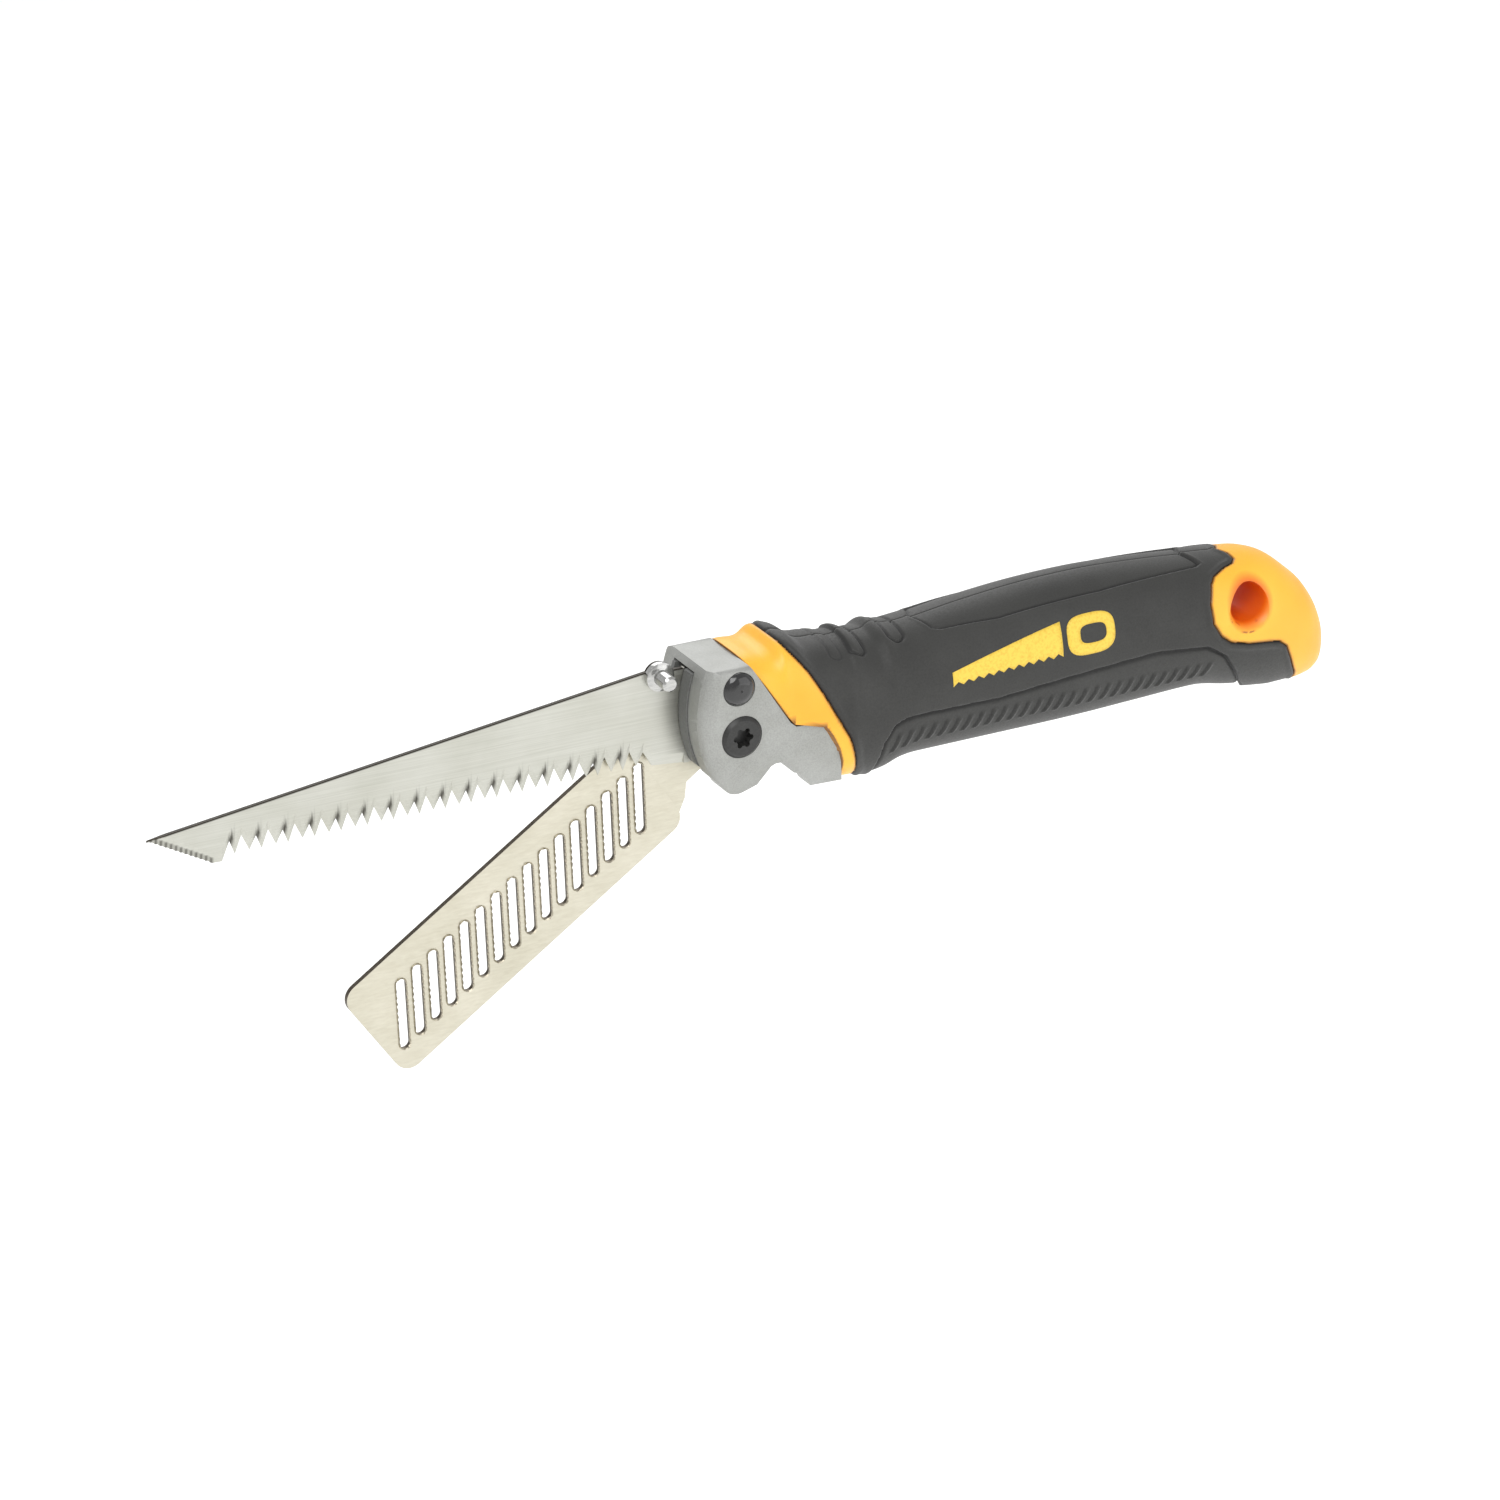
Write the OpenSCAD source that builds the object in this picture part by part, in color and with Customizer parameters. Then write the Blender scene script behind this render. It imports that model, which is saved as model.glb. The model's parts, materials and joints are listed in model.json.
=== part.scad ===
// Folding jab saw: a pointed drywall blade and a perforated rasp plate share one pivot
// in a cast head, lock open or shut, and fold into a slotted two-shell handle.
// Millimetres. The blade points along -X, the handle along +X, the spine is up (+Z) and
// the button side faces -Y. The origin is the centre of the hanging hole.

/* [Blade] */
// Pivot to the blade's point
blade_reach = 141; // [120:1:170]
// Blade thickness
blade_thick = 1.2; // [0.9:0.1:1.6]
// Height of the blade's spine above the pivot, at its root
spine_rise = 15.6; // [15:0.1:16.5]
// Depth of the blade's tooth tips below the pivot
tooth_drop = 7.9; // [7:0.1:9]
// Length of one pair of teeth
pair_pitch = 6.4; // [5:0.1:8]
// Travel of the blade from open to shut, in degrees
blade_travel = 176; // [170:1:176]
/* [Rasp] */
// Pivot to the rasp's far end
rasp_reach = 108; // [90:1:120]
// Height of the rasp's straight back above its own centre line
rasp_back = 11.5; // [9:0.5:12]
// Depth of the rasp's lower edge below its own centre line
rasp_belly = 16.5; // [13:0.5:17]
// Thickness of the rasp's carrier plate
carrier_thick = 0.9; // [0.7:0.1:1.2]
// Thickness of the rasp's toothed sheet
sheet_thick = 0.5; // [0.3:0.1:0.7]
// Angle of the rasp below the blade line as drawn
rasp_angle = 34; // [0:1:60]
// Angle between the shut rasp and the handle's centre line
rasp_shut = 8; // [7:0.5:12]
// Number of slots through the rasp
slot_count = 16; // [8:1:18]
// Width of one slot
slot_width = 2.9; // [2:0.1:3.2]
// Length of one slot, end to end
slot_length = 18.4; // [12:0.2:19]
/* [Pivot] */
// Diameter of the pivot screw's shank
screw_d = 6; // [5:0.1:7.5]
// Diameter of the pivot screw's head
screw_head_d = 10.2; // [9:0.1:12.4]
// Radius of the blade's and the rasp's tang round the pivot
tang_r = 9.5; // [9:0.1:10]
// Radial clearance of a plate on the pivot screw
pivot_gap = 0.05; // [0.02:0.01:0.1]
/* [Lock] */
// Diameter of the lock button
button_d = 8; // [7:0.1:9]
// Height of the lock button above the pivot
button_rise = 12; // [11.8:0.1:12.4]
// How far the lock button presses in
button_travel = 3.2; // [3:0.1:3.4]
/* [Head] */
// Thickness of the cast head
head_thick = 25; // [25:0.5:30]
// Diameter of the thumb stud's pin
stud_d = 3.8; // [3:0.1:4.2]
/* [Handle] */
// Greatest thickness of the handle
handle_thick = 29; // [27:0.5:35]
// Height of the handle above its centre line at the palm swell
palm_rise = 19.6; // [18:0.2:24]
// Depth of the handle below its centre line at the heel
heel_drop = 20.6; // [19:0.2:25]
// Handle length past the folded blade's point
tail_len = 26; // [24:1:34]
// Thickness of the rubber over the core
rubber_thick = 1.9; // [1.2:0.1:2.2]
// Radius of the hanging hole
hang_r = 5; // [4:0.1:6]

/* [Hidden] */
$fn = 64;

screw_r = screw_d / 2;
screw_head_r = screw_head_d / 2;
bore_r = screw_r + pivot_gap;
stud_r = stud_d / 2;
button_r = button_d / 2;
head_half = head_thick / 2;
handle_half = handle_thick / 2;
handle_end = blade_reach + tail_len;

// Layers along Y, from the button side to the far side
run_gap = 0.1;                                   // between plates that slide past each other
middle_thick = 1.2;                              // spacer washer between blade and rasp
far_thick = 0.6;                                 // washer behind the rasp
near_liner_thick = 4;
far_liner_thick = 1.4;
blade_y0 = -blade_thick / 2;
blade_y1 = blade_thick / 2;
liner_near_y1 = blade_y0 - run_gap;
liner_near_y0 = liner_near_y1 - near_liner_thick;
middle_y0 = blade_y1 + run_gap;
middle_y1 = middle_y0 + middle_thick;
carrier_y0 = middle_y1 + run_gap;
carrier_y1 = carrier_y0 + carrier_thick;
sheet_y0 = carrier_y0 - sheet_thick;
far_y0 = carrier_y1 + run_gap;
far_y1 = far_y0 + far_thick;
liner_far_y0 = far_y1 + run_gap;
liner_far_y1 = liner_far_y0 + far_liner_thick;
cheek_near = liner_near_y0 - run_gap;            // inner face of the near cheek
cheek_far = liner_far_y1 + run_gap;              // inner face of the far cheek

// Handle channel, which the folded blade and rasp lie in
channel_near = blade_y0 - 1.9;
channel_far = carrier_y1 + 1.6;

// Lock: the button's shank, the leaf that it pushes and the leaf's tab
button_x = -0.7;
plunger_r = 1.6;
flange_r = button_r + 1;
button_gap = 0.1;                                // radial gap round the button
leaf_thick = 0.6;
tab_half = 1.1;                                  // half width of the tab
tab_low = tang_r - 1.2;                          // height of the tab's lower edge
tab_gap = 0.15;                                  // gap between the tab and its notch

stud_x = -15.4;
stud_z = 14;
lug_r = 3.2;                                     // blade's lug round the stud
hang_x = handle_end - 28.5;
hang_z = 6.5;
wall_gap = 0.15;                                 // assembly gap between fitted pieces

// Moves a piece drawn round the pivot into the frame of the hanging hole
module place() translate([-hang_x, 0, -hang_z]) children();

// Carries an X-Z outline from y0 to y1
module side(y0, y1) translate([0, y1, 0]) rotate([90, 0, 0]) linear_extrude(y1 - y0) children();

// Round bar along Y
module bar(r, y0, y1, x = 0, z = 0)
  translate([x, y1, z]) rotate([90, 0, 0]) cylinder(r = r, h = y1 - y0);

// Solid of revolution about a line along Y, drawn as [radius, y] points
module turned(points, x = 0, z = 0)
  translate([x, 0, z]) rotate([-90, 0, 0]) rotate_extrude() polygon(points);

// Turns an outline round the pivot: 0 degrees points along +X, 90 along +Z
module turn(angle) rotate([0, 0, angle]) children();

// Points on an arc, from angle a0 to a1 in n steps
function arc(x, z, r, a0, a1, n) =
  [for (i = [0:n]) [x + r * cos(a0 + (a1 - a0) * i / n), z + r * sin(a0 + (a1 - a0) * i / n)]];

// Slot in a tang's rim that takes the leaf's tab, drawn at 12 o'clock
module tab_notch()
  translate([-tab_half - tab_gap, tab_low - tab_gap]) square([2 * (tab_half + tab_gap), 5]);

// ---- Blade ----
point_len = 19.3;                                // plain stretch behind the blade's point
root_x = 19;                                     // where the teeth stop
gullet_drop = 3.8;                               // wide gullets
notch_drop = 4.6;                                // narrow gullets within a pair
shoulder_z = 14.6;                               // blade's top edge under the head's bridge
pair_count = floor((blade_reach - point_len - root_x) / pair_pitch);

function pair(i) = let (x = -blade_reach + point_len + i * pair_pitch)
  [[x, -notch_drop], [x + 1.1, -tooth_drop], [x + 2.9, -gullet_drop], [x + 4.8, -tooth_drop]];

module blade_outline() difference() {
  union() {
    circle(tang_r);
    translate([stud_x, stud_z]) circle(lug_r);
    polygon(concat(
      [[-4.5, 8], [-7.6, 12.6], [-8.6, shoulder_z], [-12, shoulder_z], [-13, spine_rise]],
      [[-16, spine_rise], [-20, spine_rise - 0.5], [-blade_reach, -0.5]],
      [[1.6 - blade_reach, -1.8], [15 - blade_reach, -9.1], [17.4 - blade_reach, -9.2]],
      [for (i = [0:pair_count - 1]) each pair(i)],
      [[-root_x - 0.3, -notch_drop], [-17.1, -8.4], [-8.3, -9.3], [-3, -9]]));
  }
  tab_notch();
  turn(-blade_travel) tab_notch();
}

module saw_blade() color("#d3d3cb") place() difference() {
  side(blade_y0, blade_y1) blade_outline();
  bar(bore_r, blade_y0 - 1, blade_y1 + 1);
  bar(stud_r - 0.4, blade_y0 - 1, blade_y1 + 1, stud_x, stud_z);
}

// Flanged pin riveted through the blade below its spine
module thumb_stud() color("#c9c9c9") place()
  turned([[0, blade_y1], [stud_r - 0.45, blade_y1], [stud_r - 0.45, blade_y0],
          [lug_r + 0.3, blade_y0], [lug_r + 0.3, blade_y0 - 1.3], [stud_r, blade_y0 - 1.6],
          [stud_r, blade_y0 - 6], [stud_r - 0.5, blade_y0 - 6.5], [0, blade_y0 - 6.5]],
         stud_x, stud_z);

// ---- Rasp ----
slot_lean = 58;                                  // slots' angle to the rasp's centre line
slot_pitch = 4.92;
slot_end = 8.6;                                  // last slot's middle to the far end
slot_low = 3.05;                                 // slots' middles below the centre line
corner_r = 4;
rasp_root = 20;                                  // where the wide plate starts
rivet_pitch = 20.8;
rivet_r = 0.6;
rivet_inset = 4;
rasp_travel = 180 - rasp_angle - rasp_shut;

// Rounded corners on a rectangle, given by two opposite corners
module round_box(x0, z0, x1, z1, r) {
  translate([x0 + r, z0]) square([x1 - x0 - 2 * r, z1 - z0]);
  translate([x0, z0 + r]) square([x1 - x0, z1 - z0 - 2 * r]);
  for (x = [x0 + r, x1 - r], z = [z0 + r, z1 - r]) translate([x, z]) circle(r);
}

// Wide plate, with its centre line along X and its straight back towards -Z
module rasp_plate() round_box(rasp_root, -rasp_back, rasp_reach, rasp_belly, corner_r);

module rasp_slots() for (i = [0:slot_count - 1])
  translate([rasp_reach - slot_end - i * slot_pitch, slot_low]) turn(slot_lean) {
    square([slot_length - slot_width, slot_width], center = true);
    for (e = [-1, 1]) translate([e * (slot_length - slot_width) / 2, 0]) circle(slot_width / 2);
  }

// Rivet places: five along the belly and four along the back
rivet_points = concat(
  [for (i = [0:4]) [rasp_reach - rivet_inset - i * rivet_pitch, rasp_belly - 3]],
  [for (i = [0:3]) [rasp_reach - rivet_inset - i * rivet_pitch, 3.2 - rasp_back]]);

// Turns what is drawn along X to the rasp's drawn place
module at_rasp() turn(180 + rasp_angle) children();

module carrier_outline() difference() {
  union() {
    circle(tang_r);
    at_rasp() rasp_plate();
    at_rasp() polygon([[3, -8.8], [rasp_root + corner_r, -rasp_back],
                       [rasp_root + corner_r, rasp_belly], [17, 12], [14.5, 9], [3, 8.8]]);
  }
  at_rasp() rasp_slots();
  for (a = [0, rasp_angle, -rasp_travel]) turn(a) tab_notch();
}

module rivets(r, y0, y1) for (p = rivet_points)
  rotate([0, -180 - rasp_angle, 0]) bar(r, y0, y1, p[0], p[1]);

module rasp_carrier() color("#e6e2d3") place() difference() {
  side(carrier_y0, carrier_y1) carrier_outline();
  bar(bore_r, carrier_y0 - 1, carrier_y1 + 1);
  rivets(rivet_r, carrier_y0 - 1, carrier_y1 + 1);
}

module rasp_sheet() color("#ded9c8") place() difference() {
  side(sheet_y0, carrier_y0) difference() {
    at_rasp() rasp_plate();
    at_rasp() rasp_slots();
  }
  rivets(rivet_r, sheet_y0 - 1, carrier_y0 + 1);
}

module rasp_rivets() color("#b9b3a0") place() rivets(rivet_r, sheet_y0, carrier_y1);

// ---- Pivot ----
screw_sink = 2.2;                                // depth of the screw head's seat
nut_r = 5;
thread_r = screw_r - 0.6;                        // screw's thread and the nut's bore

module pivot_screw() color("#1c1c1e") place() difference() {
  turned([[0, -head_half - 0.8], [screw_head_r - 0.8, -head_half - 0.8],
          [screw_head_r, -head_half], [screw_head_r, -head_half + screw_sink],
          [screw_r, -head_half + screw_sink], [screw_r, cheek_far + 1],
          [thread_r, cheek_far + 1], [thread_r, head_half - 0.4], [0, head_half - 0.4]]);
  side(-head_half - 1, -head_half + 1.6) {
    circle(1.9);
    for (i = [0:5]) turn(i * 60) translate([1.9, 0]) circle(0.65);
  }
}

module pivot_nut() color("#2a2a2c") place() difference() {
  turned([[0, cheek_far + 1.2], [thread_r + 1.4, cheek_far + 1.2], [thread_r + 1.4, head_half - 2],
          [nut_r, head_half - 2], [nut_r, head_half - 0.2], [0, head_half - 0.2]]);
  bar(thread_r, cheek_far, head_half + 1);
}

module ring(r_out, r_in, y0, y1) difference() {
  bar(r_out, y0, y1);
  bar(r_in, y0 - 1, y1 + 1);
}

module washer_middle() color("#8d8f92") place() ring(7.8, screw_r + 0.05, middle_y0, middle_y1);

module washer_far() color("#8d8f92") place() ring(7.8, screw_r + 0.05, far_y0, far_y1);

// ---- Head ----
bridge_z = 14.9;                                 // underside of the bridge over the tangs
crown_z = 16.8;
web_x = 3;                                       // front of the web behind the button's shank
web_low = 11.8;
web_top = 13.8;
tail_thick = 2;                                  // plates that run back into the handle
tail_end = 45;
tail_near = cheek_near - tail_thick;
tail_far = cheek_far + tail_thick;
dowel_r = 1.5;
dowel_len = 4.6;
dowel_points = [[31, -6], [40, 4.5]];
stop_r = 1.25;
stop_x = 12.5;
stop_z = 10.1;
button_floor = -head_half + 3.4;                 // outer wall of the button's pocket
leaf_pocket_y = cheek_far + button_travel + leaf_thick + 0.8;

// Edge between the cheeks and the handle's collar, from the belly up to the crown
collar_edge = [[27.4, -17.3], [26.6, -12], [25.2, -8], [23.4, -4.4], [21.8, -2], [20, -0.8],
               [14.2, -0.3], [12.7, 1], [3.4, 15.3], [2, 17.6]];

// Button's flange, with a flat top that keeps clear of the crown
module flange_outline(r, flat) translate([button_x, button_rise]) intersection() {
  circle(r);
  translate([-r, -r]) square([2 * r, r + flat]);
}

// Cheek: bowed front, round lobe under the pivot and a notch that takes the folded stud
module cheek_outline() polygon(concat(
  arc(22, 4.5, 32, 157, 207, 10), arc(-0.3, -10.4, 4.5, 205, 295, 8),
  [[4.6, -13.4], [7.8, -9.1], [8.8, -8.6], [11.8, -8.6], [12.8, -9.4], [14.1, -12.3]],
  [[15.4, -12.7], [17.9, -15.1], [19, -17]], collar_edge, [[-5, 17.6]]));

// Cross-section in Y-Z, square on the button's side and rounded on the far shoulder, with
// the foot of each cheek sloping in
module head_section() {
  near_r = 1.8;
  far_r = 6;
  foot_z = -7.8;
  foot_in = 2.2;
  translate([-head_half + near_r, crown_z - near_r]) circle(near_r);
  translate([head_half - far_r, crown_z - far_r]) circle(far_r);
  polygon([[-head_half, crown_z - near_r], [-head_half, foot_z], [foot_in - head_half, -18],
           [head_half - foot_in, -18], [head_half, foot_z], [head_half, crown_z - far_r],
           [head_half - far_r, crown_z], [near_r - head_half, crown_z]]);
}

// Rounded front edge that both cheeks share, turned about the centre of the front's bow
module head_bow() {
  bow = [[28.6, head_half], [29.9, head_half - 0.5], [31.1, head_half - 1.5],
         [32, head_half - 3.2], [32.2, head_half - 4]];
  turned(concat([[0, head_half]], bow,
                [for (i = [len(bow) - 1:-1:0]) [bow[i][0], -bow[i][1]]], [[0, -head_half]]), 22, 4.5);
}

// Bridge over the tangs, which joins the cheeks and runs back under the collar
module bridge_outline()
  polygon([[-9.6, bridge_z], [web_x, bridge_z], [web_x, web_low], [17, web_low], [17, web_top - 0.4],
           [16, web_top], [8, web_top], [4.2, bridge_z], [2, crown_z + 1], [-9.6, crown_z + 1]]);

// Plates behind the cheeks that the handle shells close on
module tail_outline()
  polygon([[2, -8.4], [12, -8.4], [24, -11.6], [tail_end, -11.6], [tail_end, 9], [22, 9],
           [17, web_low], [17, web_top], [8, web_top], [4.2, bridge_z], [2, 9]]);

module head_casting() color("#a9aba8") place() difference() {
  union() {
    intersection() {
      union() {
        side(-head_half - 1, cheek_near) cheek_outline();
        side(cheek_far, head_half + 1) cheek_outline();
        side(-head_half - 1, head_half + 1)
          intersection() {
            bridge_outline();
            cheek_outline();
          }
      }
      translate([-30, 0, 0]) rotate([90, 0, 90]) linear_extrude(80) head_section();
      head_bow();
    }
    side(tail_near, cheek_near) tail_outline();
    side(cheek_far, tail_far) tail_outline();
    side(tail_near, tail_far) intersection() {
      bridge_outline();
      tail_outline();
    }
  }
  bar(bore_r, -head_half - 2, cheek_far + 1.1);
  bar(screw_head_r + 0.1, -head_half - 2, -head_half + screw_sink);
  bar(thread_r + 1.5, cheek_far + 1, head_half + 2);
  bar(nut_r + 0.1, head_half - 2, head_half + 2);
  bar(button_r + button_gap, -head_half - 2, button_floor + 1, button_x, button_rise);
  side(button_floor, cheek_near + 1) flange_outline(flange_r + 0.2, button_r + button_gap);
  side(cheek_far - 1, leaf_pocket_y) leaf_outline(leaf_w + 1.2);
  bar(post_r + 0.02, leaf_pocket_y - 1, leaf_pocket_y + 2, leaf_x, leaf_z);
  bar(stop_r + 0.02, cheek_near - 1.5, cheek_far + 1.5, stop_x, stop_z);
  for (p = dowel_points) bar(dowel_r + 0.05, tail_near - 1, tail_far + 1, p[0], p[1]);
}

module stop_pin() color("#8d8f92") place()
  bar(stop_r, cheek_near - 1.4, cheek_far + 1.4, stop_x, stop_z);

module head_pins() color("#8d8f92") place() for (p = dowel_points) {
  bar(dowel_r, cheek_near - dowel_len, cheek_near - 0.1, p[0], p[1]);
  bar(dowel_r, cheek_far + 0.1, cheek_far + dowel_len, p[0], p[1]);
}

// Liners: flat spacers that the tangs turn between
module liner_outline() polygon(concat(
  arc(21.6, 4.5, 32, 162, 204, 8), arc(-0.3, -10.2, 3.9, 205, 295, 6),
  [[6.4, -9.6], [7.4, -6], [7.4, 3], [4.6, 10], [web_x - 0.3, web_low - 0.5],
   [web_x - 0.3, bridge_z - 0.3], [-7, bridge_z - 0.3]]));

module liner(y0, y1) difference() {
  side(y0, y1) liner_outline();
  bar(screw_r + 0.1, y0 - 1, y1 + 1);
  bar(plunger_r + 0.3, y0 - 1, y1 + 1, button_x, button_rise);
}

module liner_near() color("#4a4b4a") place() liner(liner_near_y0, liner_near_y1);

module liner_far() color("#4a4b4a") place() difference() {
  liner(liner_far_y0, liner_far_y1);
  side(liner_far_y0 - 1, liner_far_y1 + 1) translate([-tab_half - 0.4, tab_low - 0.4])
    square([2 * tab_half + 0.8, 3]);
}

// ---- Lock ----
leaf_x = 5.4;
leaf_z = 5.2;
leaf_w = 5;
post_r = 1.2;
cap_sink = 2.6;                                  // how deep the shank sits in the button
leaf_y0 = cheek_far + 0.1;
leaf_y1 = leaf_y0 + leaf_thick;

// Strip with round ends, from its post up to the button's shank
module leaf_outline(w) translate([leaf_x, leaf_z]) turn(135) {
  run = norm([button_x - leaf_x, button_rise - leaf_z]);
  translate([0, -w / 2]) square([run, w]);
  circle(w / 2);
  translate([run, 0]) circle(w / 2);
}

// Strip in a pocket of the far cheek, with a tab bent through the liner into the notches
module lock_leaf() color("#b5b7ba") place() difference() {
  union() {
    side(leaf_y0, leaf_y1) leaf_outline(leaf_w);
    side(blade_y0 + 0.3, leaf_y0 + 0.1) translate([-tab_half, tab_low])
      square([2 * tab_half, tang_r + 0.5 - tab_low]);
  }
  bar(post_r + 0.05, leaf_y0 - 1, leaf_y1 + 1, leaf_x, leaf_z);
}

// Post that the leaf is riveted to, clear of the pocket's floor so that the leaf can bend
module leaf_post() color("#55575a") place()
  turned([[0, leaf_y0], [post_r, leaf_y0], [post_r, leaf_y1 + 0.02], [2.1, leaf_y1 + 0.02],
          [2.1, leaf_pocket_y - 0.02], [post_r, leaf_pocket_y - 0.02],
          [post_r, leaf_pocket_y + 1.9], [0, leaf_pocket_y + 1.9]], leaf_x, leaf_z);

// Domed button: its flange stays behind the cheek's wall
module lock_button() color("#151517") place() difference() {
  union() {
    turned([[0, -head_half - 1.5], [button_r - 1.9, -head_half - 1.3],
            [button_r - 0.7, -head_half - 0.8], [button_r, -head_half],
            [button_r, button_floor + 1.1], [0, button_floor + 1.1]], button_x, button_rise);
    side(button_floor + 0.1, button_floor + 1.1) flange_outline(flange_r, button_r - 0.1);
  }
  bar(plunger_r, button_floor + 1.1 - cap_sink, button_floor + 2, button_x, button_rise);
}

module lock_plunger() color("#9a9c9f") place()
  bar(plunger_r, button_floor + 1.1 - cap_sink, cheek_far + 0.05, button_x, button_rise);

// ---- Handle ----
squareness = 2.2;                                // power of the grip's cross-section
collar_squareness = 3.6;                         // the same at the collar, which meets the cheeks
collar_x = 10;                                   // where the collar starts to turn into the grip
grip_x = 31.5;                                   // where it has become the grip
ring_steps = 14;                                 // facets round one shell
nose_half = handle_half - 1.5;
tail_x = handle_end - 30;

// Stations along the handle: [x, lowest z, highest z, half thickness]
stations = [
  [-5, -14, 17.2, nose_half - 0.8], [4, -15.5, 17.4, nose_half - 0.3], [10, -16.5, 17.6, nose_half],
  [12.5, -16.8, 19.8, nose_half], [16, -17, 19.4, nose_half + 0.2], [19.5, -17.6, 16.8, nose_half + 0.4],
  [26, -18.6, 16, nose_half + 0.8], [29.5, -19.4, 15.4, handle_half], [31.5, -19.8, 16.4, handle_half],
  [34, -20.4, 15.4, handle_half], [37.5, -21, 15.2, handle_half], [40.5, -20.6, 16.6, handle_half],
  [44, -19.2, 15.4, handle_half], [50, -18.4, 15.8, handle_half], [64, -18.4, palm_rise - 2, handle_half],
  [80, -18.4, palm_rise - 0.5, handle_half], [96, -18.2, palm_rise, handle_half],
  [tail_x - 26, -17.6, palm_rise - 0.6, handle_half], [tail_x - 10, -17, palm_rise - 1.9, handle_half],
  [tail_x, 1.9 - heel_drop, palm_rise - 2.9, handle_half - 0.3],
  [tail_x + 8, 0.6 - heel_drop, palm_rise - 4, handle_half - 0.9],
  [tail_x + 13, -heel_drop, palm_rise - 6, handle_half - 1.8],
  [tail_x + 18, -heel_drop, palm_rise - 9.8, handle_half - 3],
  [tail_x + 23, 0.2 - heel_drop, palm_rise - 14.6, handle_half - 4.9],
  [tail_x + 26.2, 0.9 - heel_drop, palm_rise - 19.4, handle_half - 7],
  [tail_x + 28.6, 2.5 - heel_drop, palm_rise - 24.4, handle_half - 9.8],
  [tail_x + 30, 5.5 - heel_drop, palm_rise - 28, handle_half - 12.6]];

// Power of the cross-section at a place along the handle
function square_at(x) = squareness + (collar_squareness - squareness)
  * min(1, max(0, (grip_x - x) / (grip_x - collar_x)));

// One point of a ring: half a rounded section, from the lowest point to the highest
function ring_point(s, inset, a) = let (
    mid = (s[1] + s[2]) / 2,
    high = (s[2] - s[1]) / 2 - inset,
    wide = max(s[3] - inset, 0.6),
    p = 2 / square_at(s[0]))
  [s[0], wide * pow(max(cos(a), 0), p), mid + high * sign(sin(a)) * pow(abs(sin(a)), p)];

// Stations pulled in from the surface by the inset, the last one along X as well
function inset_station(i, inset) = let (s = stations[i], last = len(stations) - 1)
  i < last ? s : [s[0] - inset, s[1], s[2], s[3]];

// Far half of the handle's form, closed on the plane y = 0
module half_form(inset) {
  n = len(stations) - (inset > 0 ? 1 : 0);
  m = ring_steps + 1;
  points = [for (i = [0:n - 1]) each
    [for (j = [0:ring_steps]) ring_point(inset_station(i, inset), inset, -90 + 180 * j / ring_steps)]];
  polyhedron(points, concat(
    [for (i = [0:n - 2], j = [0:ring_steps - 1]) each
      [[i * m + j, (i + 1) * m + j + 1, i * m + j + 1], [i * m + j, (i + 1) * m + j, (i + 1) * m + j + 1]]],
    [for (i = [0:n - 2]) each
      [[i * m, (i + 1) * m + ring_steps, (i + 1) * m], [i * m, i * m + ring_steps, (i + 1) * m + ring_steps]]],
    [[for (j = [0:ring_steps]) j], [for (j = [ring_steps:-1:0]) (n - 1) * m + j]]));
}

// Edge between the collar and the rubber, from the belly up to the guard lip
rubber_edge = [[33, -24], [31.6, -16.2], [29.6, -10.6], [27.7, -5.2], [24.3, 0.9], [21, 7],
               [17.6, 12.6], [13.9, 17.4], [11.5, 21], [11.5, 30]];

// Edge between the rubber and the bare tail, which bows round the hanging hole
tail_edge = [[tail_x - 4, 30], [tail_x - 4, 17.4], [tail_x - 7.6, 16], [tail_x - 9.6, 12],
             [tail_x - 9.8, 6.6], [tail_x - 7.9, 1.6], [tail_x - 4, -2.6], [tail_x + 1.8, -4.4],
             [tail_x + 8, -4.2], [tail_x + 11, -4.9], [tail_x + 12.6, -7.4],
             [tail_x + 13.6, -12], [tail_x + 14.6, -30]];

function shifted(points, dx) = [for (p = points) [p[0] + dx, p[1]]];

// What the shells cover, what the rubber covers, and the bare ends
module core_zone() polygon(concat(shifted(collar_edge, wall_gap),
  [[-6, 17.6], [-6, 40], [handle_end + 9, 40], [handle_end + 9, -40], [27.4 + wall_gap, -40]]));
module rubber_zone() polygon(concat(rubber_edge, tail_edge));
module collar_zone() polygon(concat(rubber_edge, [[-30, 30], [-30, -24]]));
module tail_zone() polygon(concat(tail_edge, [[handle_end + 9, -30], [handle_end + 9, 30]]));

// Channel for the folded blade and rasp, open along the belly
module channel_outline()
  polygon([[-20, -60], [-20, 12.6], [16.2, 12.6], [18.5, 13.2], [27, 13.3], [33, 12.6], [54, 9.8],
           [rasp_reach + 3, 2.6], [blade_reach - 12, 1.2], [blade_reach + 1.5, -6.4],
           [blade_reach + 1.5, -60]]);

// Pocket for the casting's tail, with the assembly gap all round
module tail_pocket()
  polygon([[-20, -11.8], [tail_end + wall_gap, -11.8], [tail_end + wall_gap, 9.2], [22.1, 9.2],
           [17.2, web_low + 0.1], [17.2, web_top + wall_gap], [8.1, web_top + wall_gap],
           [4.2, bridge_z + wall_gap], [-20, bridge_z + wall_gap]]);

handle_screw_r = 1.25;
handle_screw_head = 2.6;
handle_screw_seat = channel_far + 1;
handle_screw_reach = 6.5;
handle_screw_points = [[60, 11.4], [tail_x - 40, 9.5], [tail_x + 14, -9]];
hang_flare = 3;                                  // round at the mouths of the hanging hole
hang_wall = handle_half - 1 - hang_flare;        // half length of the hole's straight wall

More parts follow.
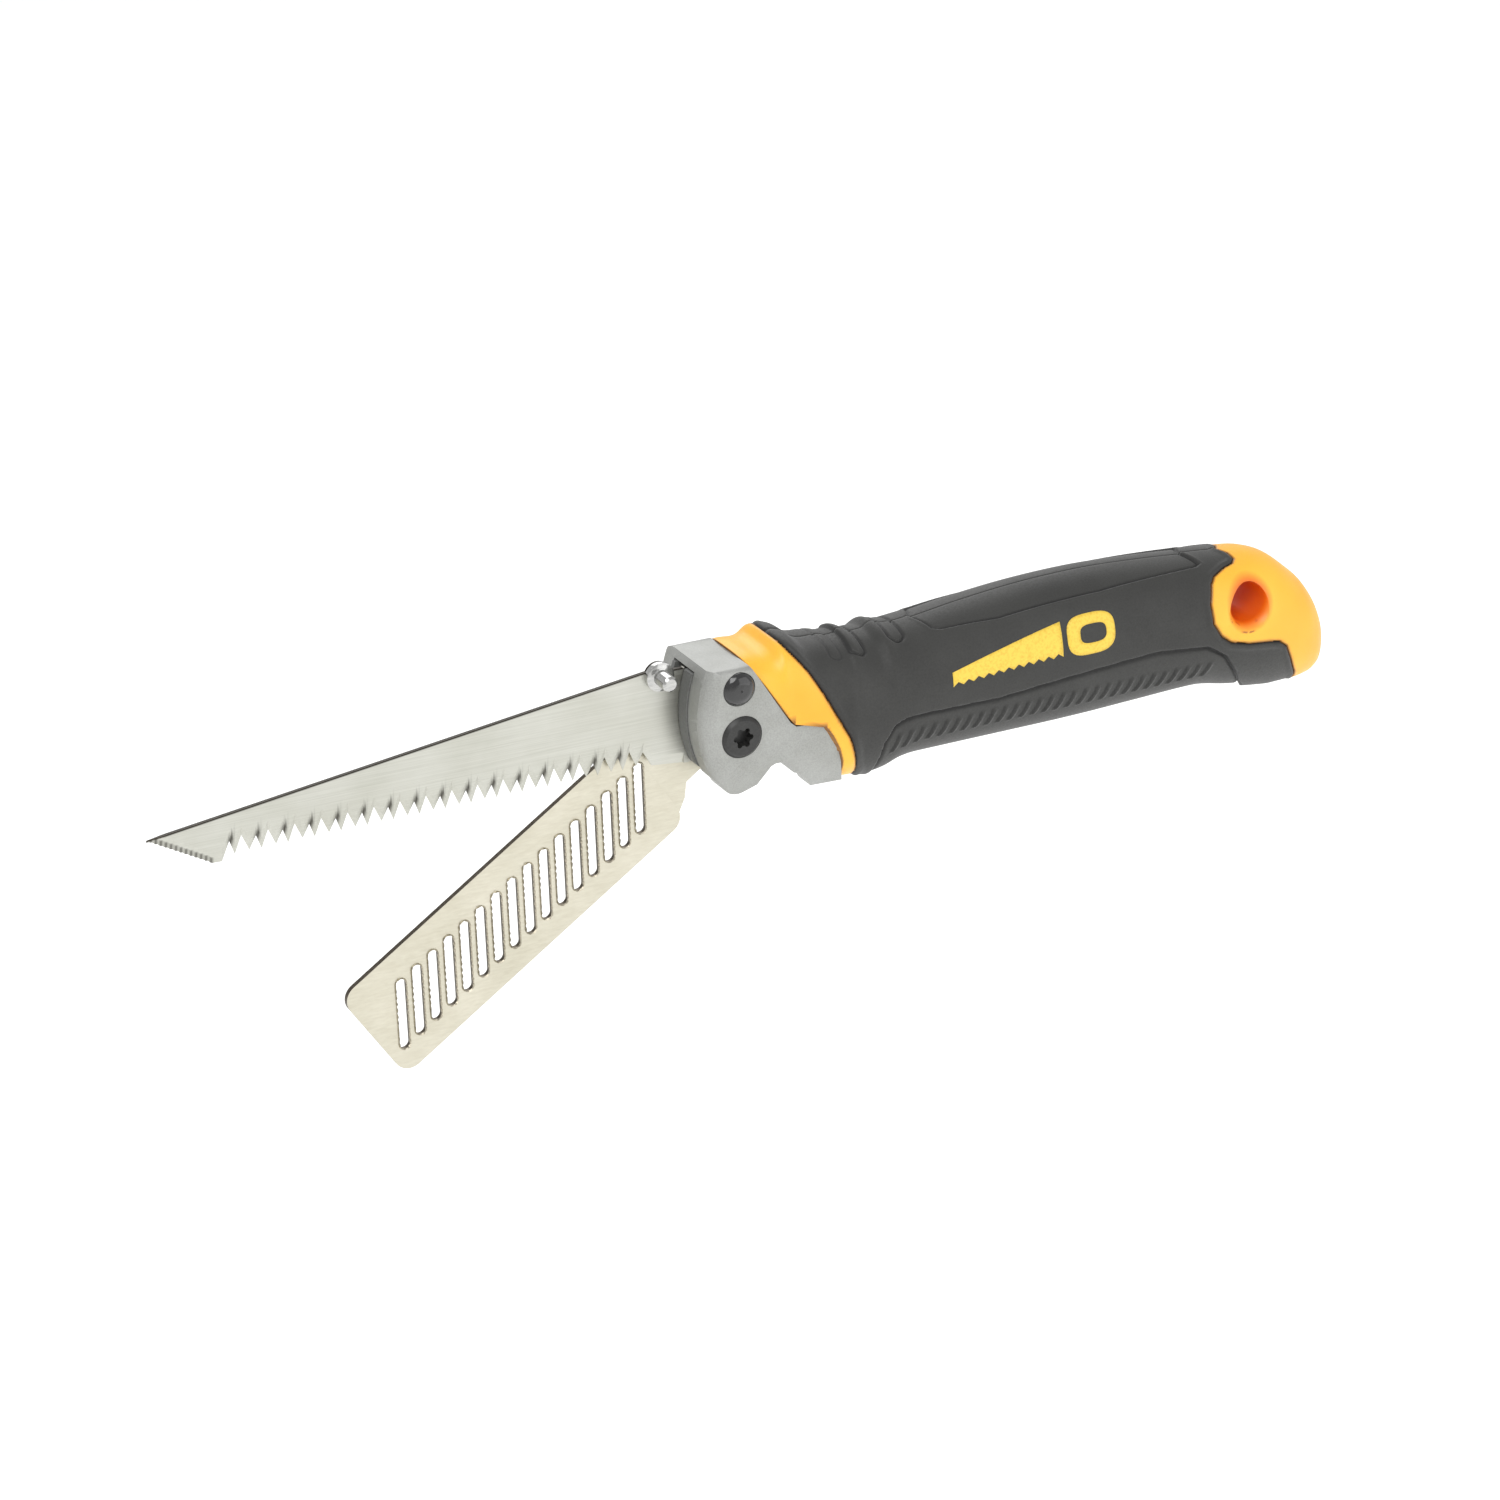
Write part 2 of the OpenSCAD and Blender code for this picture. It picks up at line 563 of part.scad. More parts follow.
// Hanging hole with a rounded mouth on each side
module hang_cut() {
  bar(hang_r, -handle_half - 2, handle_half + 2, hang_x, hang_z);
  for (s = [-1, 1]) translate([hang_x, s * hang_wall, hang_z]) rotate([-90 * s, 0, 0])
    rotate_extrude() difference() {
      translate([hang_r - 1, 0]) square([hang_flare + 1, hang_flare + 9]);
      translate([hang_r + hang_flare, 0]) circle(hang_flare);
    }
}

module core_cuts() {
  side(channel_near, channel_far) channel_outline();
  side(tail_near - wall_gap, tail_far + wall_gap) tail_pocket();
  hang_cut();
  for (p = dowel_points)
    bar(dowel_r + 0.05, cheek_near - dowel_len - 0.1, cheek_far + dowel_len + 0.1, p[0], p[1]);
}

module core_half() {
  intersection() {
    half_form(rubber_thick);
    side(-1, handle_half + 5) core_zone();
  }
  intersection() {
    half_form(0);
    side(-1, handle_half + 5) intersection() {
      core_zone();
      union() {
        collar_zone();
        tail_zone();
      }
    }
  }
}

module handle_core_left() color("#fdbb42") place() difference() {
  mirror([0, 1, 0]) core_half();
  core_cuts();
  for (p = handle_screw_points) bar(handle_screw_r + 0.02, -handle_screw_reach, 1, p[0], p[1]);
}

module handle_core_right() color("#fdbb42") place() difference() {
  core_half();
  core_cuts();
  for (p = handle_screw_points) {
    bar(handle_screw_r + 0.15, -1, handle_half + 1, p[0], p[1]);
    bar(handle_screw_head + 0.15, handle_screw_seat, handle_half + 1, p[0], p[1]);
  }
}

module grip_half() difference() {
  intersection() {
    half_form(0);
    side(-1, handle_half + 5) rubber_zone();
  }
  half_form(rubber_thick);
  side(-1, channel_far + 1.2) translate([20, -60]) square([200, 50]);
}

module grip_left() color("#454542") place() mirror([0, 1, 0]) grip_half();

module grip_right() color("#454542") place() difference() {
  grip_half();
  for (p = handle_screw_points) bar(handle_screw_head + 0.4, 1, handle_half + 1, p[0], p[1]);
}

// Three screws from the far side
module handle_screws() color("#55575a") place() for (p = handle_screw_points)
  difference() {
    turned([[0, 0.5 - handle_screw_reach], [handle_screw_r, 0.5 - handle_screw_reach],
            [handle_screw_r, handle_screw_seat], [handle_screw_head, handle_screw_seat],
            [handle_screw_head, handle_screw_seat + 1.2], [handle_screw_head - 0.6, handle_screw_seat + 1.8],
            [0, handle_screw_seat + 1.8]], p[0], p[1]);
    for (a = [0, 90]) side(handle_screw_seat + 0.8, handle_screw_seat + 3)
      translate(p) turn(a) square([2.8, 0.7], center = true);
  }

head_casting();
liner_near();
liner_far();
pivot_screw();
pivot_nut();
washer_middle();
washer_far();
saw_blade();
thumb_stud();
rasp_carrier();
rasp_sheet();
rasp_rivets();
lock_button();
lock_plunger();
lock_leaf();
leaf_post();
handle_core_left();
handle_core_right();
grip_left();
grip_right();
handle_screws();
head_pins();
stop_pin();
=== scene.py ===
# Folding jab saw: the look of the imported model. Metres, in the model's own frame:
# +X to the tail, +Z to the spine, -Y to the button side, origin in the hanging hole.
import json
import math
import bmesh
import bpy
import numpy as np
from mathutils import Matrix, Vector


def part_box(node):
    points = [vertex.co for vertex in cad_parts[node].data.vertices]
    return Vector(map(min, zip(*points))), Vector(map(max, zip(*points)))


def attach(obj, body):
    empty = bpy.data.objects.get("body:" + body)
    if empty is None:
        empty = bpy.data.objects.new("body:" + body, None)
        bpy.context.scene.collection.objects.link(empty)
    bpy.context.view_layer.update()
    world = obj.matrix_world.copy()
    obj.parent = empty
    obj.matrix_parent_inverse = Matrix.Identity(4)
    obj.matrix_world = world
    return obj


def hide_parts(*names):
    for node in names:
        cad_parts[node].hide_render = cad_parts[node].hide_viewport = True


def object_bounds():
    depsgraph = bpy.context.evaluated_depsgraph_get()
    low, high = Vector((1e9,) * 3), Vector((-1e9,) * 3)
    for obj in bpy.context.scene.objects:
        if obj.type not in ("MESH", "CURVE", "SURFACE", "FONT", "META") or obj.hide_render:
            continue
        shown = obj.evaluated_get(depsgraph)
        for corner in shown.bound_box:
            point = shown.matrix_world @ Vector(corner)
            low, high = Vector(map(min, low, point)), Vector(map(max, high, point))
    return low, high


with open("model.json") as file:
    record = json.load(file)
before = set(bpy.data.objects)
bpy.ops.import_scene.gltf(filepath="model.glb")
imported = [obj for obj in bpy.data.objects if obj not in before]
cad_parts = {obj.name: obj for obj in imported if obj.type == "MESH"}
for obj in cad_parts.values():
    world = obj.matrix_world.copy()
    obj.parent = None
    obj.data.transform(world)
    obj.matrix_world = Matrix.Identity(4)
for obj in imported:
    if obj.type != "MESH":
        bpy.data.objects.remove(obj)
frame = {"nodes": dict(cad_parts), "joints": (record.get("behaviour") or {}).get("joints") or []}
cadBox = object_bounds()
nodes = frame["nodes"]
mm = 0.001

# shapes are drawn in millimetres from the pivot, which the blade's joint gives
pivot = np.array(next(j for j in frame["joints"] if j["name"] == "blade_fold")["pos_m"])
bladeReach = (pivot[0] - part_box("saw_blade")[0].x) / mm


# millimetres from the pivot to row metres: p / 1000 + pivot
def toRow(points):
    return np.asarray(points, float) * mm + pivot


# sRGB hex to linear: ((c + 0.055) / 1.055) ^ 2.4 above the toe, c / 12.92 below it
def fromHex(code):
    parts = [int(code[i:i + 2], 16) / 255 for i in (1, 3, 5)]
    return [c / 12.92 if c <= 0.04045 else ((c + 0.055) / 1.055) ** 2.4 for c in parts] + [1.0]


# adds a node, sets its properties, sockets and ramp stops, and links {socket: output} into it
def addNode(tree, kind, settings=None, links=None):
    node = tree.nodes.new(kind)
    for key, value in (settings or {}).items():
        if key == "stops":
            for number, (where, code) in enumerate(value):
                bar = node.color_ramp.elements
                stop = bar[number] if number < 2 else bar.new(where)
                stop.position, stop.color = where, fromHex(code)
        elif isinstance(key, str) and hasattr(node, key):
            setattr(node, key, value)
        else:
            node.inputs[key].default_value = value
    for key, source in (links or {}).items():
        tree.links.new(source, node.inputs[key])
    return node


# a Principled material with constant values on the shader's own sockets, which a viewer that
# doesn't run the patterns shows in their place
def startMaterial(name, shader):
    mat = bpy.data.materials.new(name)
    mat.use_nodes = True
    tree = mat.node_tree
    bsdf = tree.nodes["Principled BSDF"]
    for key, value in shader.items():
        bsdf.inputs[key].default_value = value
    where = addNode(tree, "ShaderNodeTexCoord").outputs["Object"]
    return mat, tree, bsdf, where


# a new object in the scene for a mesh, a light or a camera
def addObject(name, data):
    thing = bpy.data.objects.new(name, data)
    bpy.context.scene.collection.objects.link(thing)
    return thing


# a mesh object from points in pivot millimetres, faces and a finish, riding on a body
def makePiece(name, points, faces, finish, body, stands=(), smooth=True):
    mesh = bpy.data.meshes.new(name)
    mesh.from_pydata(toRow(points).tolist(), [], faces)
    if smooth:
        mesh.polygons.foreach_set("use_smooth", np.ones(len(mesh.polygons), bool))
    mesh.materials.append(finish)
    mesh.update()
    piece = addObject(name, mesh)
    if stands:
        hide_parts(*stands)
    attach(piece, body)
    return piece


# quads of a grid with rows x columns points, numbered row by row from first
def gridFaces(rows, columns, first=0, closed=False):
    i = np.arange(rows - 1)[:, None] * columns + first
    j = np.arange(columns if closed else columns - 1)[None, :]
    k = (j + 1) % columns
    return np.stack([i + j, i + k, i + k + columns, i + j + columns], -1).reshape(-1, 4).tolist()


# points out a closed piece's faces
def faceOutwards(piece):
    shell = bmesh.new()
    shell.from_mesh(piece.data)
    bmesh.ops.remove_doubles(shell, verts=shell.verts, dist=1e-7)
    bmesh.ops.recalc_face_normals(shell, faces=shell.faces)
    shell.to_mesh(piece.data)
    shell.free()


print("scene: frame loaded, pivot at", [round(float(v), 4) for v in pivot])


# degrees round and up, metres away, lens in millimetres, aim in millimetres from the pivot
cameraSet = {"azimuth": -28.0, "elevation": 24.0, "distance": 1.1, "lens": 115.1,
             "lookAt": (1.05, -14.4, -2.7)}
floorSet = {"drop": 0.30, "half": 8.0, "colour": "#F8F8F7", "glow": 0.3}
# each box: metres from the pivot, watts and width in metres
lightSet = {"sky": 0.72,
            "boxes": {"keyLight": ((-0.5, -0.9, 1.1), 11.0, 0.9),
                      "fillLight": ((0.9, -1.1, 0.3), 4.5, 1.2),
                      "rimLight": ((0.3, 1.1, 0.9), 7.0, 1.0)}}


# the camera sits along (sin a cos e, -cos a cos e, sin e) from its aim
def makeCamera():
    a, e = (math.radians(cameraSet[k]) for k in ("azimuth", "elevation"))
    back = Vector((math.sin(a) * math.cos(e), -math.cos(a) * math.cos(e), math.sin(e)))
    data = bpy.data.cameras.new("studioCamera")
    data.lens, data.sensor_width, data.clip_start = cameraSet["lens"], 36.0, 0.05
    camera = addObject("studioCamera", data)
    camera.location = Vector(toRow(cameraSet["lookAt"])) + back * cameraSet["distance"]
    camera.rotation_euler = back.to_track_quat("Z", "Y").to_euler()
    bpy.context.scene.camera = camera


# pale floor below the saw, three soft boxes aimed at the pivot and an even white sky
def makeStudio():
    h = floorSet["half"]
    z = cadBox[0][2] - floorSet["drop"]
    mesh = bpy.data.meshes.new("studioFloor")
    mesh.from_pydata([(-h, -h, z), (h, -h, z), (h, h, z), (-h, h, z)], [], [(0, 1, 2, 3)])
    floor = addObject("studioFloor", mesh)
    paint = startMaterial("matt white floor paint", {
        "Roughness": 0.9, "Base Color": fromHex(floorSet["colour"]),
        "Emission Color": fromHex(floorSet["colour"]), "Emission Strength": floorSet["glow"]})[0]
    mesh.materials.append(paint)
    for name, (spot, power, size) in lightSet["boxes"].items():
        data = bpy.data.lights.new(name, "AREA")
        data.energy, data.size = power, size
        light = addObject(name, data)
        light.location = Vector(pivot) + Vector(spot)
        light.rotation_euler = Vector(spot).to_track_quat("Z", "Y").to_euler()
    world = bpy.data.worlds.new("studioSky")
    world.use_nodes = True
    sky = world.node_tree.nodes["Background"]
    sky.inputs["Color"].default_value = fromHex("#FFFFFF")
    sky.inputs["Strength"].default_value = lightSet["sky"]
    bpy.context.scene.world = world
    bpy.context.scene.view_settings.view_transform = "Standard"


makeCamera()
makeStudio()
print("scene: camera, floor and lights made")


# colours dark to light, roughness, and the real size in millimetres of what shows; noise keeps
# mostly between noiseLow and noiseHigh, so ramps and ranges run from one to the other
noiseLow, noiseHigh = 0.3, 0.7
diecastSet = {"dark": "#999A97", "light": "#ABACA9", "roughness": 0.46, "rough": (0.4, 0.52),
              "grain": 0.35, "depth": 0.03, "veil": (9.09, 3.0, "#EDEDEB")}
steelSet = {
    "blade": ("ground hardened blade steel", "#B9B9B1", "#C9C9C2", 0.36, 0.25, 22.0, 0.004),
    "rasp": ("stamped stainless sheet", "#C6C1B1", "#D3CFC0", 0.36, 0.6, 3.0, 0.003),
    "cut": ("sheared steel edge", "#3E3831", "#6B6358", 0.42, 0.4, 1.2, 0.02),
    "burr": ("punched steel burr", "#8A8273", "#CFC8B6", 0.4, 0.4, 0.9, 0.02),
    "turned": ("polished turned steel", "#A8A8A7", "#C4C4C2", 0.13, 0.3, 2.0, 0.002),
    "spring": ("bright spring steel", "#8E9092", "#A6A8AA", 0.28, 0.3, 6.0, 0.003)}
# haze: a slow veil of handling haze, and the colour of the painted shade on the blade, in its
# gullets, along its spine and on its ground nose
hazeSet = {"veil": (16.13, 4.0, "#F1F1EE"), "paintedShadeTone": "#2E2A24"}
# the two dark colours are painted shade: brown along the borders with the rubber and the casting,
# orange in the hanging hole's wall, fading out between boreFrom and boreTo from its axis
nylonSet = {"deep": "#F5AA24", "main": "#FCBA38", "paintedSeamShade": "#5A2E0C", "bore": "#E2640C",
            "roughness": 0.36, "rough": (0.34, 0.44), "flow": 22.22, "grain": 0.5,
            "depth": 0.015, "boreFrom": 5.0, "boreTo": 7.2}
# the darkest colour is the painted black shade in the grooves, at the ribs' feet and along the
# borders
rubberSet = {"dark": "#232321", "light": "#2C2C2A", "groove": "#050505", "roughness": 0.56,
             "rough": (0.5, 0.68), "grain": 0.4545, "dust": 12.5, "depth": 0.04}
darkSet = {
    "oxide": ("black oxide steel", "#1C1C1B", "#2B2B2A", 0.42, 0.5, 0.01, 0.0),
    "acetal": ("polished black acetal", "#131314", "#1B1B1C", 0.14, 0.6, 0.003, 0.5),
    "liner": ("glass-filled grey nylon", "#575856", "#666765", 0.5, 0.5, 0.02, 0.0)}
inkSet = {"thin": "#D9B23C", "full": "#E8C54A", "rough": (0.5, 0.5), "grain": 0.625,
          "depth": 0.03}


# roughness and relief that follow one pattern: roughness from rough[0] where it is low to
# rough[1] where it is high, and a bump of depth millimetres
def addTexture(tree, bsdf, pattern, rough, strength, depth):
    gloss = addNode(tree, "ShaderNodeMapRange", {
        "From Min": noiseLow, "From Max": noiseHigh, "To Min": rough[0],
        "To Max": rough[1]}, {"Value": pattern})
    bump = addNode(tree, "ShaderNodeBump", {"Strength": strength, "Distance": depth * mm},
                   {"Height": pattern})
    tree.links.new(gloss.outputs["Result"], bsdf.inputs["Roughness"])
    tree.links.new(bump.outputs["Normal"], bsdf.inputs["Normal"])


# a colour times a slow cloud of the given size, which goes from a pale tint to white
def addVeil(tree, where, under, size, detail, code):
    cloud = addNode(tree, "ShaderNodeTexNoise", {"Scale": 1 / (size * mm), "Detail": detail},
                    {"Vector": where})
    veil = addNode(tree, "ShaderNodeValToRGB", {
        "stops": [(noiseLow, code), (noiseHigh, "#FFFFFF")]}, {"Fac": cloud.outputs["Fac"]})
    return addNode(tree, "ShaderNodeMix", {
        "data_type": "RGBA", "blend_type": "MULTIPLY", 0: 1.0},
        {6: under, 7: veil.outputs["Color"]}).outputs[2]


# painted shade: a colour mixed with another by the share of painted shade the mesh stores, which
# is 0 without it
def addPaintedShade(tree, under, code):
    paintedShade = addNode(tree, "ShaderNodeAttribute", {"attribute_name": "paintedShade"})
    return addNode(tree, "ShaderNodeMix", {"data_type": "RGBA", 7: fromHex(code)},
                   {0: paintedShade.outputs["Fac"], 6: under}).outputs[2]


# shot-blasted aluminium casting: even grey, only half a mirror, sandy at the 0.1 mm of the
# blast, drawn 0.35 mm to show, with slow patches from the mould
def makeDiecast():
    mat, tree, bsdf, where = startMaterial("shot-blasted aluminium casting", {
        "Metallic": 0.5, "Roughness": diecastSet["roughness"]})
    grain = addNode(tree, "ShaderNodeTexNoise", {
        "Scale": 1 / (diecastSet["grain"] * mm), "Detail": 4.0}, {"Vector": where})
    tint = addNode(tree, "ShaderNodeValToRGB", {
        "stops": [(noiseLow, diecastSet["dark"]), (noiseHigh, diecastSet["light"])]},
        {"Fac": grain.outputs["Fac"]})
    tree.links.new(addVeil(tree, where, tint.outputs["Color"], *diecastSet["veil"]),
                   bsdf.inputs["Base Color"])
    addTexture(tree, bsdf, grain.outputs["Fac"], diecastSet["rough"], 0.5, diecastSet["depth"])
    return mat


# ground or drawn steel: scratches a few hundredths apart in the real metal, drawn coarser to
# show, running along X, under slow clouds of handling haze, and darkened by painted shade where
# the mesh stores it
def makeSteel(name, dark, light, roughness, apart, length, depth):
    mat, tree, bsdf, where = startMaterial(name, {"Metallic": 1.0, "Roughness": roughness})
    drawn = addNode(tree, "ShaderNodeMapping", {
        "Scale": (1 / (length * mm), 1 / (apart * mm), 1 / (apart * mm))}, {"Vector": where})
    lines = addNode(tree, "ShaderNodeTexNoise", {
        "Scale": 1.0, "Detail": 3.0, "Roughness": 0.6}, {"Vector": drawn.outputs["Vector"]})
    tint = addNode(tree, "ShaderNodeValToRGB", {
        "stops": [(noiseLow, dark), (noiseHigh, light)]}, {"Fac": lines.outputs["Fac"]})
    hazy = addVeil(tree, where, tint.outputs["Color"], *hazeSet["veil"])
    tree.links.new(addPaintedShade(tree, hazy, hazeSet["paintedShadeTone"]), bsdf.inputs["Base Color"])
    addTexture(tree, bsdf, lines.outputs["Fac"], (roughness - 0.05, roughness + 0.08), 0.6, depth)
    return mat


# moulded yellow nylon: satin and warm, light sinks in a few millimetres, red the deepest,
# with faint flow marks, painted brown shade at its borders with the rubber and the casting,
# and painted orange shade in the hanging hole
def makeNylon():
    mat, tree, bsdf, where = startMaterial("moulded yellow nylon", {
        "Roughness": nylonSet["roughness"], "IOR": 1.53, "Subsurface Weight": 0.15,
        "Subsurface Radius": (0.005, 0.002, 0.0005), "Subsurface Scale": 1.0})
    flow = addNode(tree, "ShaderNodeTexNoise", {
        "Scale": 1 / (nylonSet["flow"] * mm), "Detail": 2.0}, {"Vector": where})
    grain = addNode(tree, "ShaderNodeTexNoise", {
        "Scale": 1 / (nylonSet["grain"] * mm), "Detail": 2.0}, {"Vector": where})
    tint = addNode(tree, "ShaderNodeValToRGB", {
        "stops": [(noiseLow, nylonSet["deep"]), (noiseHigh, nylonSet["main"])]},
        {"Fac": flow.outputs["Fac"]})
    # the hanging hole runs through the origin: its wall is painted orange, a painted shade for the
    # light bounced round inside it
    flat = addNode(tree, "ShaderNodeVectorMath", {
        "operation": "MULTIPLY", 1: (1.0, 0.0, 1.0)}, {0: where})
    radius = addNode(tree, "ShaderNodeVectorMath", {"operation": "LENGTH"},
                     {0: flat.outputs["Vector"]})
    deep = addNode(tree, "ShaderNodeMapRange", {
        "From Min": nylonSet["boreFrom"] * mm, "From Max": nylonSet["boreTo"] * mm,
        "To Min": 1.0, "To Max": 0.0}, {"Value": radius.outputs["Value"]})
    bore = addNode(tree, "ShaderNodeMix", {"data_type": "RGBA", 7: fromHex(nylonSet["bore"])}, {
        0: deep.outputs["Result"], 6: addPaintedShade(tree, tint.outputs["Color"], nylonSet["paintedSeamShade"])})
    tree.links.new(bore.outputs[2], bsdf.inputs["Base Color"])
    addTexture(tree, bsdf, grain.outputs["Fac"], nylonSet["rough"], 0.4, nylonSet["depth"])
    return mat


# moulded charcoal rubber: matt, spark-eroded grain 0.2 mm across drawn 0.45 mm to show, with
# a dusty sheen at low angles and painted black shade in the grooves
def makeRubber():
    mat, tree, bsdf, where = startMaterial("moulded charcoal rubber", {
        "Roughness": rubberSet["roughness"], "IOR": 1.5, "Sheen Weight": 0.1,
        "Sheen Roughness": 0.5})
    grain = addNode(tree, "ShaderNodeTexNoise", {
        "Scale": 1 / (rubberSet["grain"] * mm), "Detail": 3.0}, {"Vector": where})
    dust = addNode(tree, "ShaderNodeTexNoise", {
        "Scale": 1 / (rubberSet["dust"] * mm), "Detail": 4.0}, {"Vector": where})
    tint = addNode(tree, "ShaderNodeValToRGB", {
        "stops": [(noiseLow, rubberSet["dark"]), (noiseHigh, rubberSet["light"])]},
        {"Fac": dust.outputs["Fac"]})
    tree.links.new(addPaintedShade(tree, tint.outputs["Color"], rubberSet["groove"]),
                   bsdf.inputs["Base Color"])
    addTexture(tree, bsdf, grain.outputs["Fac"], rubberSet["rough"], 0.5, rubberSet["depth"])
    return mat


# dark finishes with a faint grain: oxide is satin, acetal mirrors the lamps, liner is dusty
def makeDark(name, dark, light, roughness, apart, depth, coat):
    mat, tree, bsdf, where = startMaterial(name, {
        "Roughness": roughness, "Coat Weight": coat, "Coat Roughness": 0.08})
    grain = addNode(tree, "ShaderNodeTexNoise", {"Scale": 1 / (apart * mm), "Detail": 3.0},
                    {"Vector": where})
    tint = addNode(tree, "ShaderNodeValToRGB", {
        "stops": [(noiseLow, dark), (noiseHigh, light)]}, {"Fac": grain.outputs["Fac"]})
    tree.links.new(tint.outputs["Color"], bsdf.inputs["Base Color"])
    addTexture(tree, bsdf, grain.outputs["Fac"], (roughness - 0.04, roughness + 0.06), 0.5, depth)
    return mat


# pad-printed ink: opaque yellow, satin, thinned a little by the rubber's grain underneath
def makeInk():
    mat, tree, bsdf, where = startMaterial("pad-printed yellow ink", {
        "Roughness": inkSet["rough"][0]})
    wear = addNode(tree, "ShaderNodeTexNoise", {
        "Scale": 1 / (inkSet["grain"] * mm), "Detail": 3.0}, {"Vector": where})
    tint = addNode(tree, "ShaderNodeValToRGB", {
        "stops": [(noiseLow, inkSet["thin"]), (0.55, inkSet["full"])]},
        {"Fac": wear.outputs["Fac"]})
    tree.links.new(tint.outputs["Color"], bsdf.inputs["Base Color"])
    addTexture(tree, bsdf, wear.outputs["Fac"], inkSet["rough"], 0.3, inkSet["depth"])
    return mat


printInk = makeInk()
diecast, nylon, rubber = makeDiecast(), makeNylon(), makeRubber()
bladeSteel, raspSteel, cutSteel, burrSteel, turnedSteel, springSteel = (
    makeSteel(*steelSet[k]) for k in ("blade", "rasp", "cut", "burr", "turned", "spring"))
oxide, acetal, linerNylon = (makeDark(*darkSet[k]) for k in ("oxide", "acetal", "liner"))

cadFinish = {
    "head_casting": diecast, "liner_near": linerNylon, "liner_far": linerNylon,
    "pivot_screw": oxide, "pivot_nut": oxide, "washer_middle": springSteel,
    "washer_far": springSteel, "saw_blade": bladeSteel, "thumb_stud": turnedSteel,
    "rasp_carrier": raspSteel, "rasp_sheet": raspSteel, "rasp_rivets": raspSteel,
    "lock_button": acetal, "lock_plunger": springSteel, "lock_leaf": springSteel,
    "leaf_post": springSteel, "handle_core_left": nylon, "handle_core_right": nylon,
    "grip_left": rubber, "grip_right": rubber, "handle_screws": springSteel,
    "head_pins": springSteel, "stop_pin": springSteel}
for nodeName, finish in cadFinish.items():
    nodes[nodeName].data.materials.clear()
    nodes[nodeName].data.materials.append(finish)
print("scene: finishes on", len(cadFinish), "CAD nodes")


# stations along the handle, millimetres from the pivot: x, lowest, highest, half width
formStations = np.array([
    [-5, -14, 17.2, 12.2], [4, -15.5, 17.4, 12.7], [10, -16.5, 17.6, 13], [12.5, -16.8, 19.4, 13],
    [16, -17, 19.2, 13.2], [19.5, -17.6, 16.8, 13.4], [26, -18.6, 16, 13.8],
    [29.5, -19.4, 15.4, 14.5], [31.5, -19.8, 16.4, 14.5], [34, -20.4, 15.4, 14.5],
    [37.5, -21, 15.2, 14.5], [40.5, -20.6, 16.6, 14.5], [44, -19.2, 15.4, 14.5],
    [50, -18.4, 15.8, 14.5], [64, -18.4, 17.6, 14.5], [80, -18.4, 19.1, 14.5],
    [96, -18.2, 19.6, 14.5], [111, -17.6, 19, 14.5], [127, -17, 17.7, 14.5],
    [137, -18.7, 16.7, 14.2], [145, -20, 15.6, 13.6], [150, -20.6, 13.6, 12.7],
    [155, -20.6, 9.8, 11.5], [160, -20.4, 5, 9.6], [163.2, -19.7, 0.2, 7.5],
    [165.6, -18.1, -4.8, 4.7], [167, -15.1, -8.4, 1.9]])
# power of the section at the grip and at the collar and where each begins, where the near and
# the far skin end beside the slot, the rubber's thickness, its border's y and the way down to it
formSet = {"squareGrip": 2.2, "squareCollar": 3.6, "collarX": 10.0, "gripX": 31.5,
           "slotNear": 2.5, "slotFar": 4.5, "rubber": 1.9, "lip": 5.7, "girth": 51.0}
# borders in the side view, x and z, drawn on past the skin above and below: where the yellow
# collar starts behind the casting, and where the rubber starts behind the collar
collarEdge = np.array([[2, 60], [2, 17.6], [3.4, 15.3], [12.7, 1], [14.2, -0.3], [20, -0.8],
                       [21.8, -2], [23.4, -4.4], [25.2, -8], [26.6, -12], [27.4, -17.3],
                       [27.5, -60]])
rubberEdge = np.array([[11.5, 60], [11.5, 21], [13.9, 17.4], [17.6, 12.6], [21, 7], [24.3, 0.9],
                       [27.7, -5.2], [29.6, -10.6], [31.6, -16.2], [33, -24], [33, -60]])
# border of the rubber at the tail: x, and the way down the section from the crown
tailEdge = np.array([[135, -9], [136.5, 0], [138, 3], [138.3, 6.2], [137, 8], [134.1, 9.4],
                     [130.1, 12.2], [128.5, 14.8], [127, 20.5], [127.4, 25.7], [129.6, 28.7],
                     [132.5, 30.2], [137.7, 30.8], [144.2, 30.9], [147.6, 31.2], [150.1, 32.7],
                     [152.2, 37], [155.5, 44.9], [157, 52], [157.5, 60]])


# cubic through knots, with slopes from the neighbours, flat where they change sign
def smoothThrough(x, knots, values):
    gap = np.diff(knots)
    rate = np.diff(values) / gap
    slope = np.concatenate([rate[:1], (rate[1:] * gap[:-1] + rate[:-1] * gap[1:])
                            / (gap[1:] + gap[:-1]), rate[-1:]])
    turning = np.concatenate([[False], rate[1:] * rate[:-1] <= 0, [False]])
    slope = np.where(turning, 0.0, slope)
    i = np.clip(np.searchsorted(knots, x) - 1, 0, len(knots) - 2)
    t = (x - knots[i]) / gap[i]
    t = np.clip(t, 0, 1)
    return (values[i] * (1 + 2 * t) * (1 - t) ** 2 + values[i + 1] * t * t * (3 - 2 * t)
            + gap[i] * (slope[i] * t * (1 - t) ** 2 - slope[i + 1] * t * t * (1 - t)))


# power n of the section, from the collar's to the grip's
def squareAt(x):
    turn = np.clip((formSet["gripX"] - x) / (formSet["gripX"] - formSet["collarX"]), 0, 1)
    return formSet["squareGrip"] + (formSet["squareCollar"] - formSet["squareGrip"]) * turn


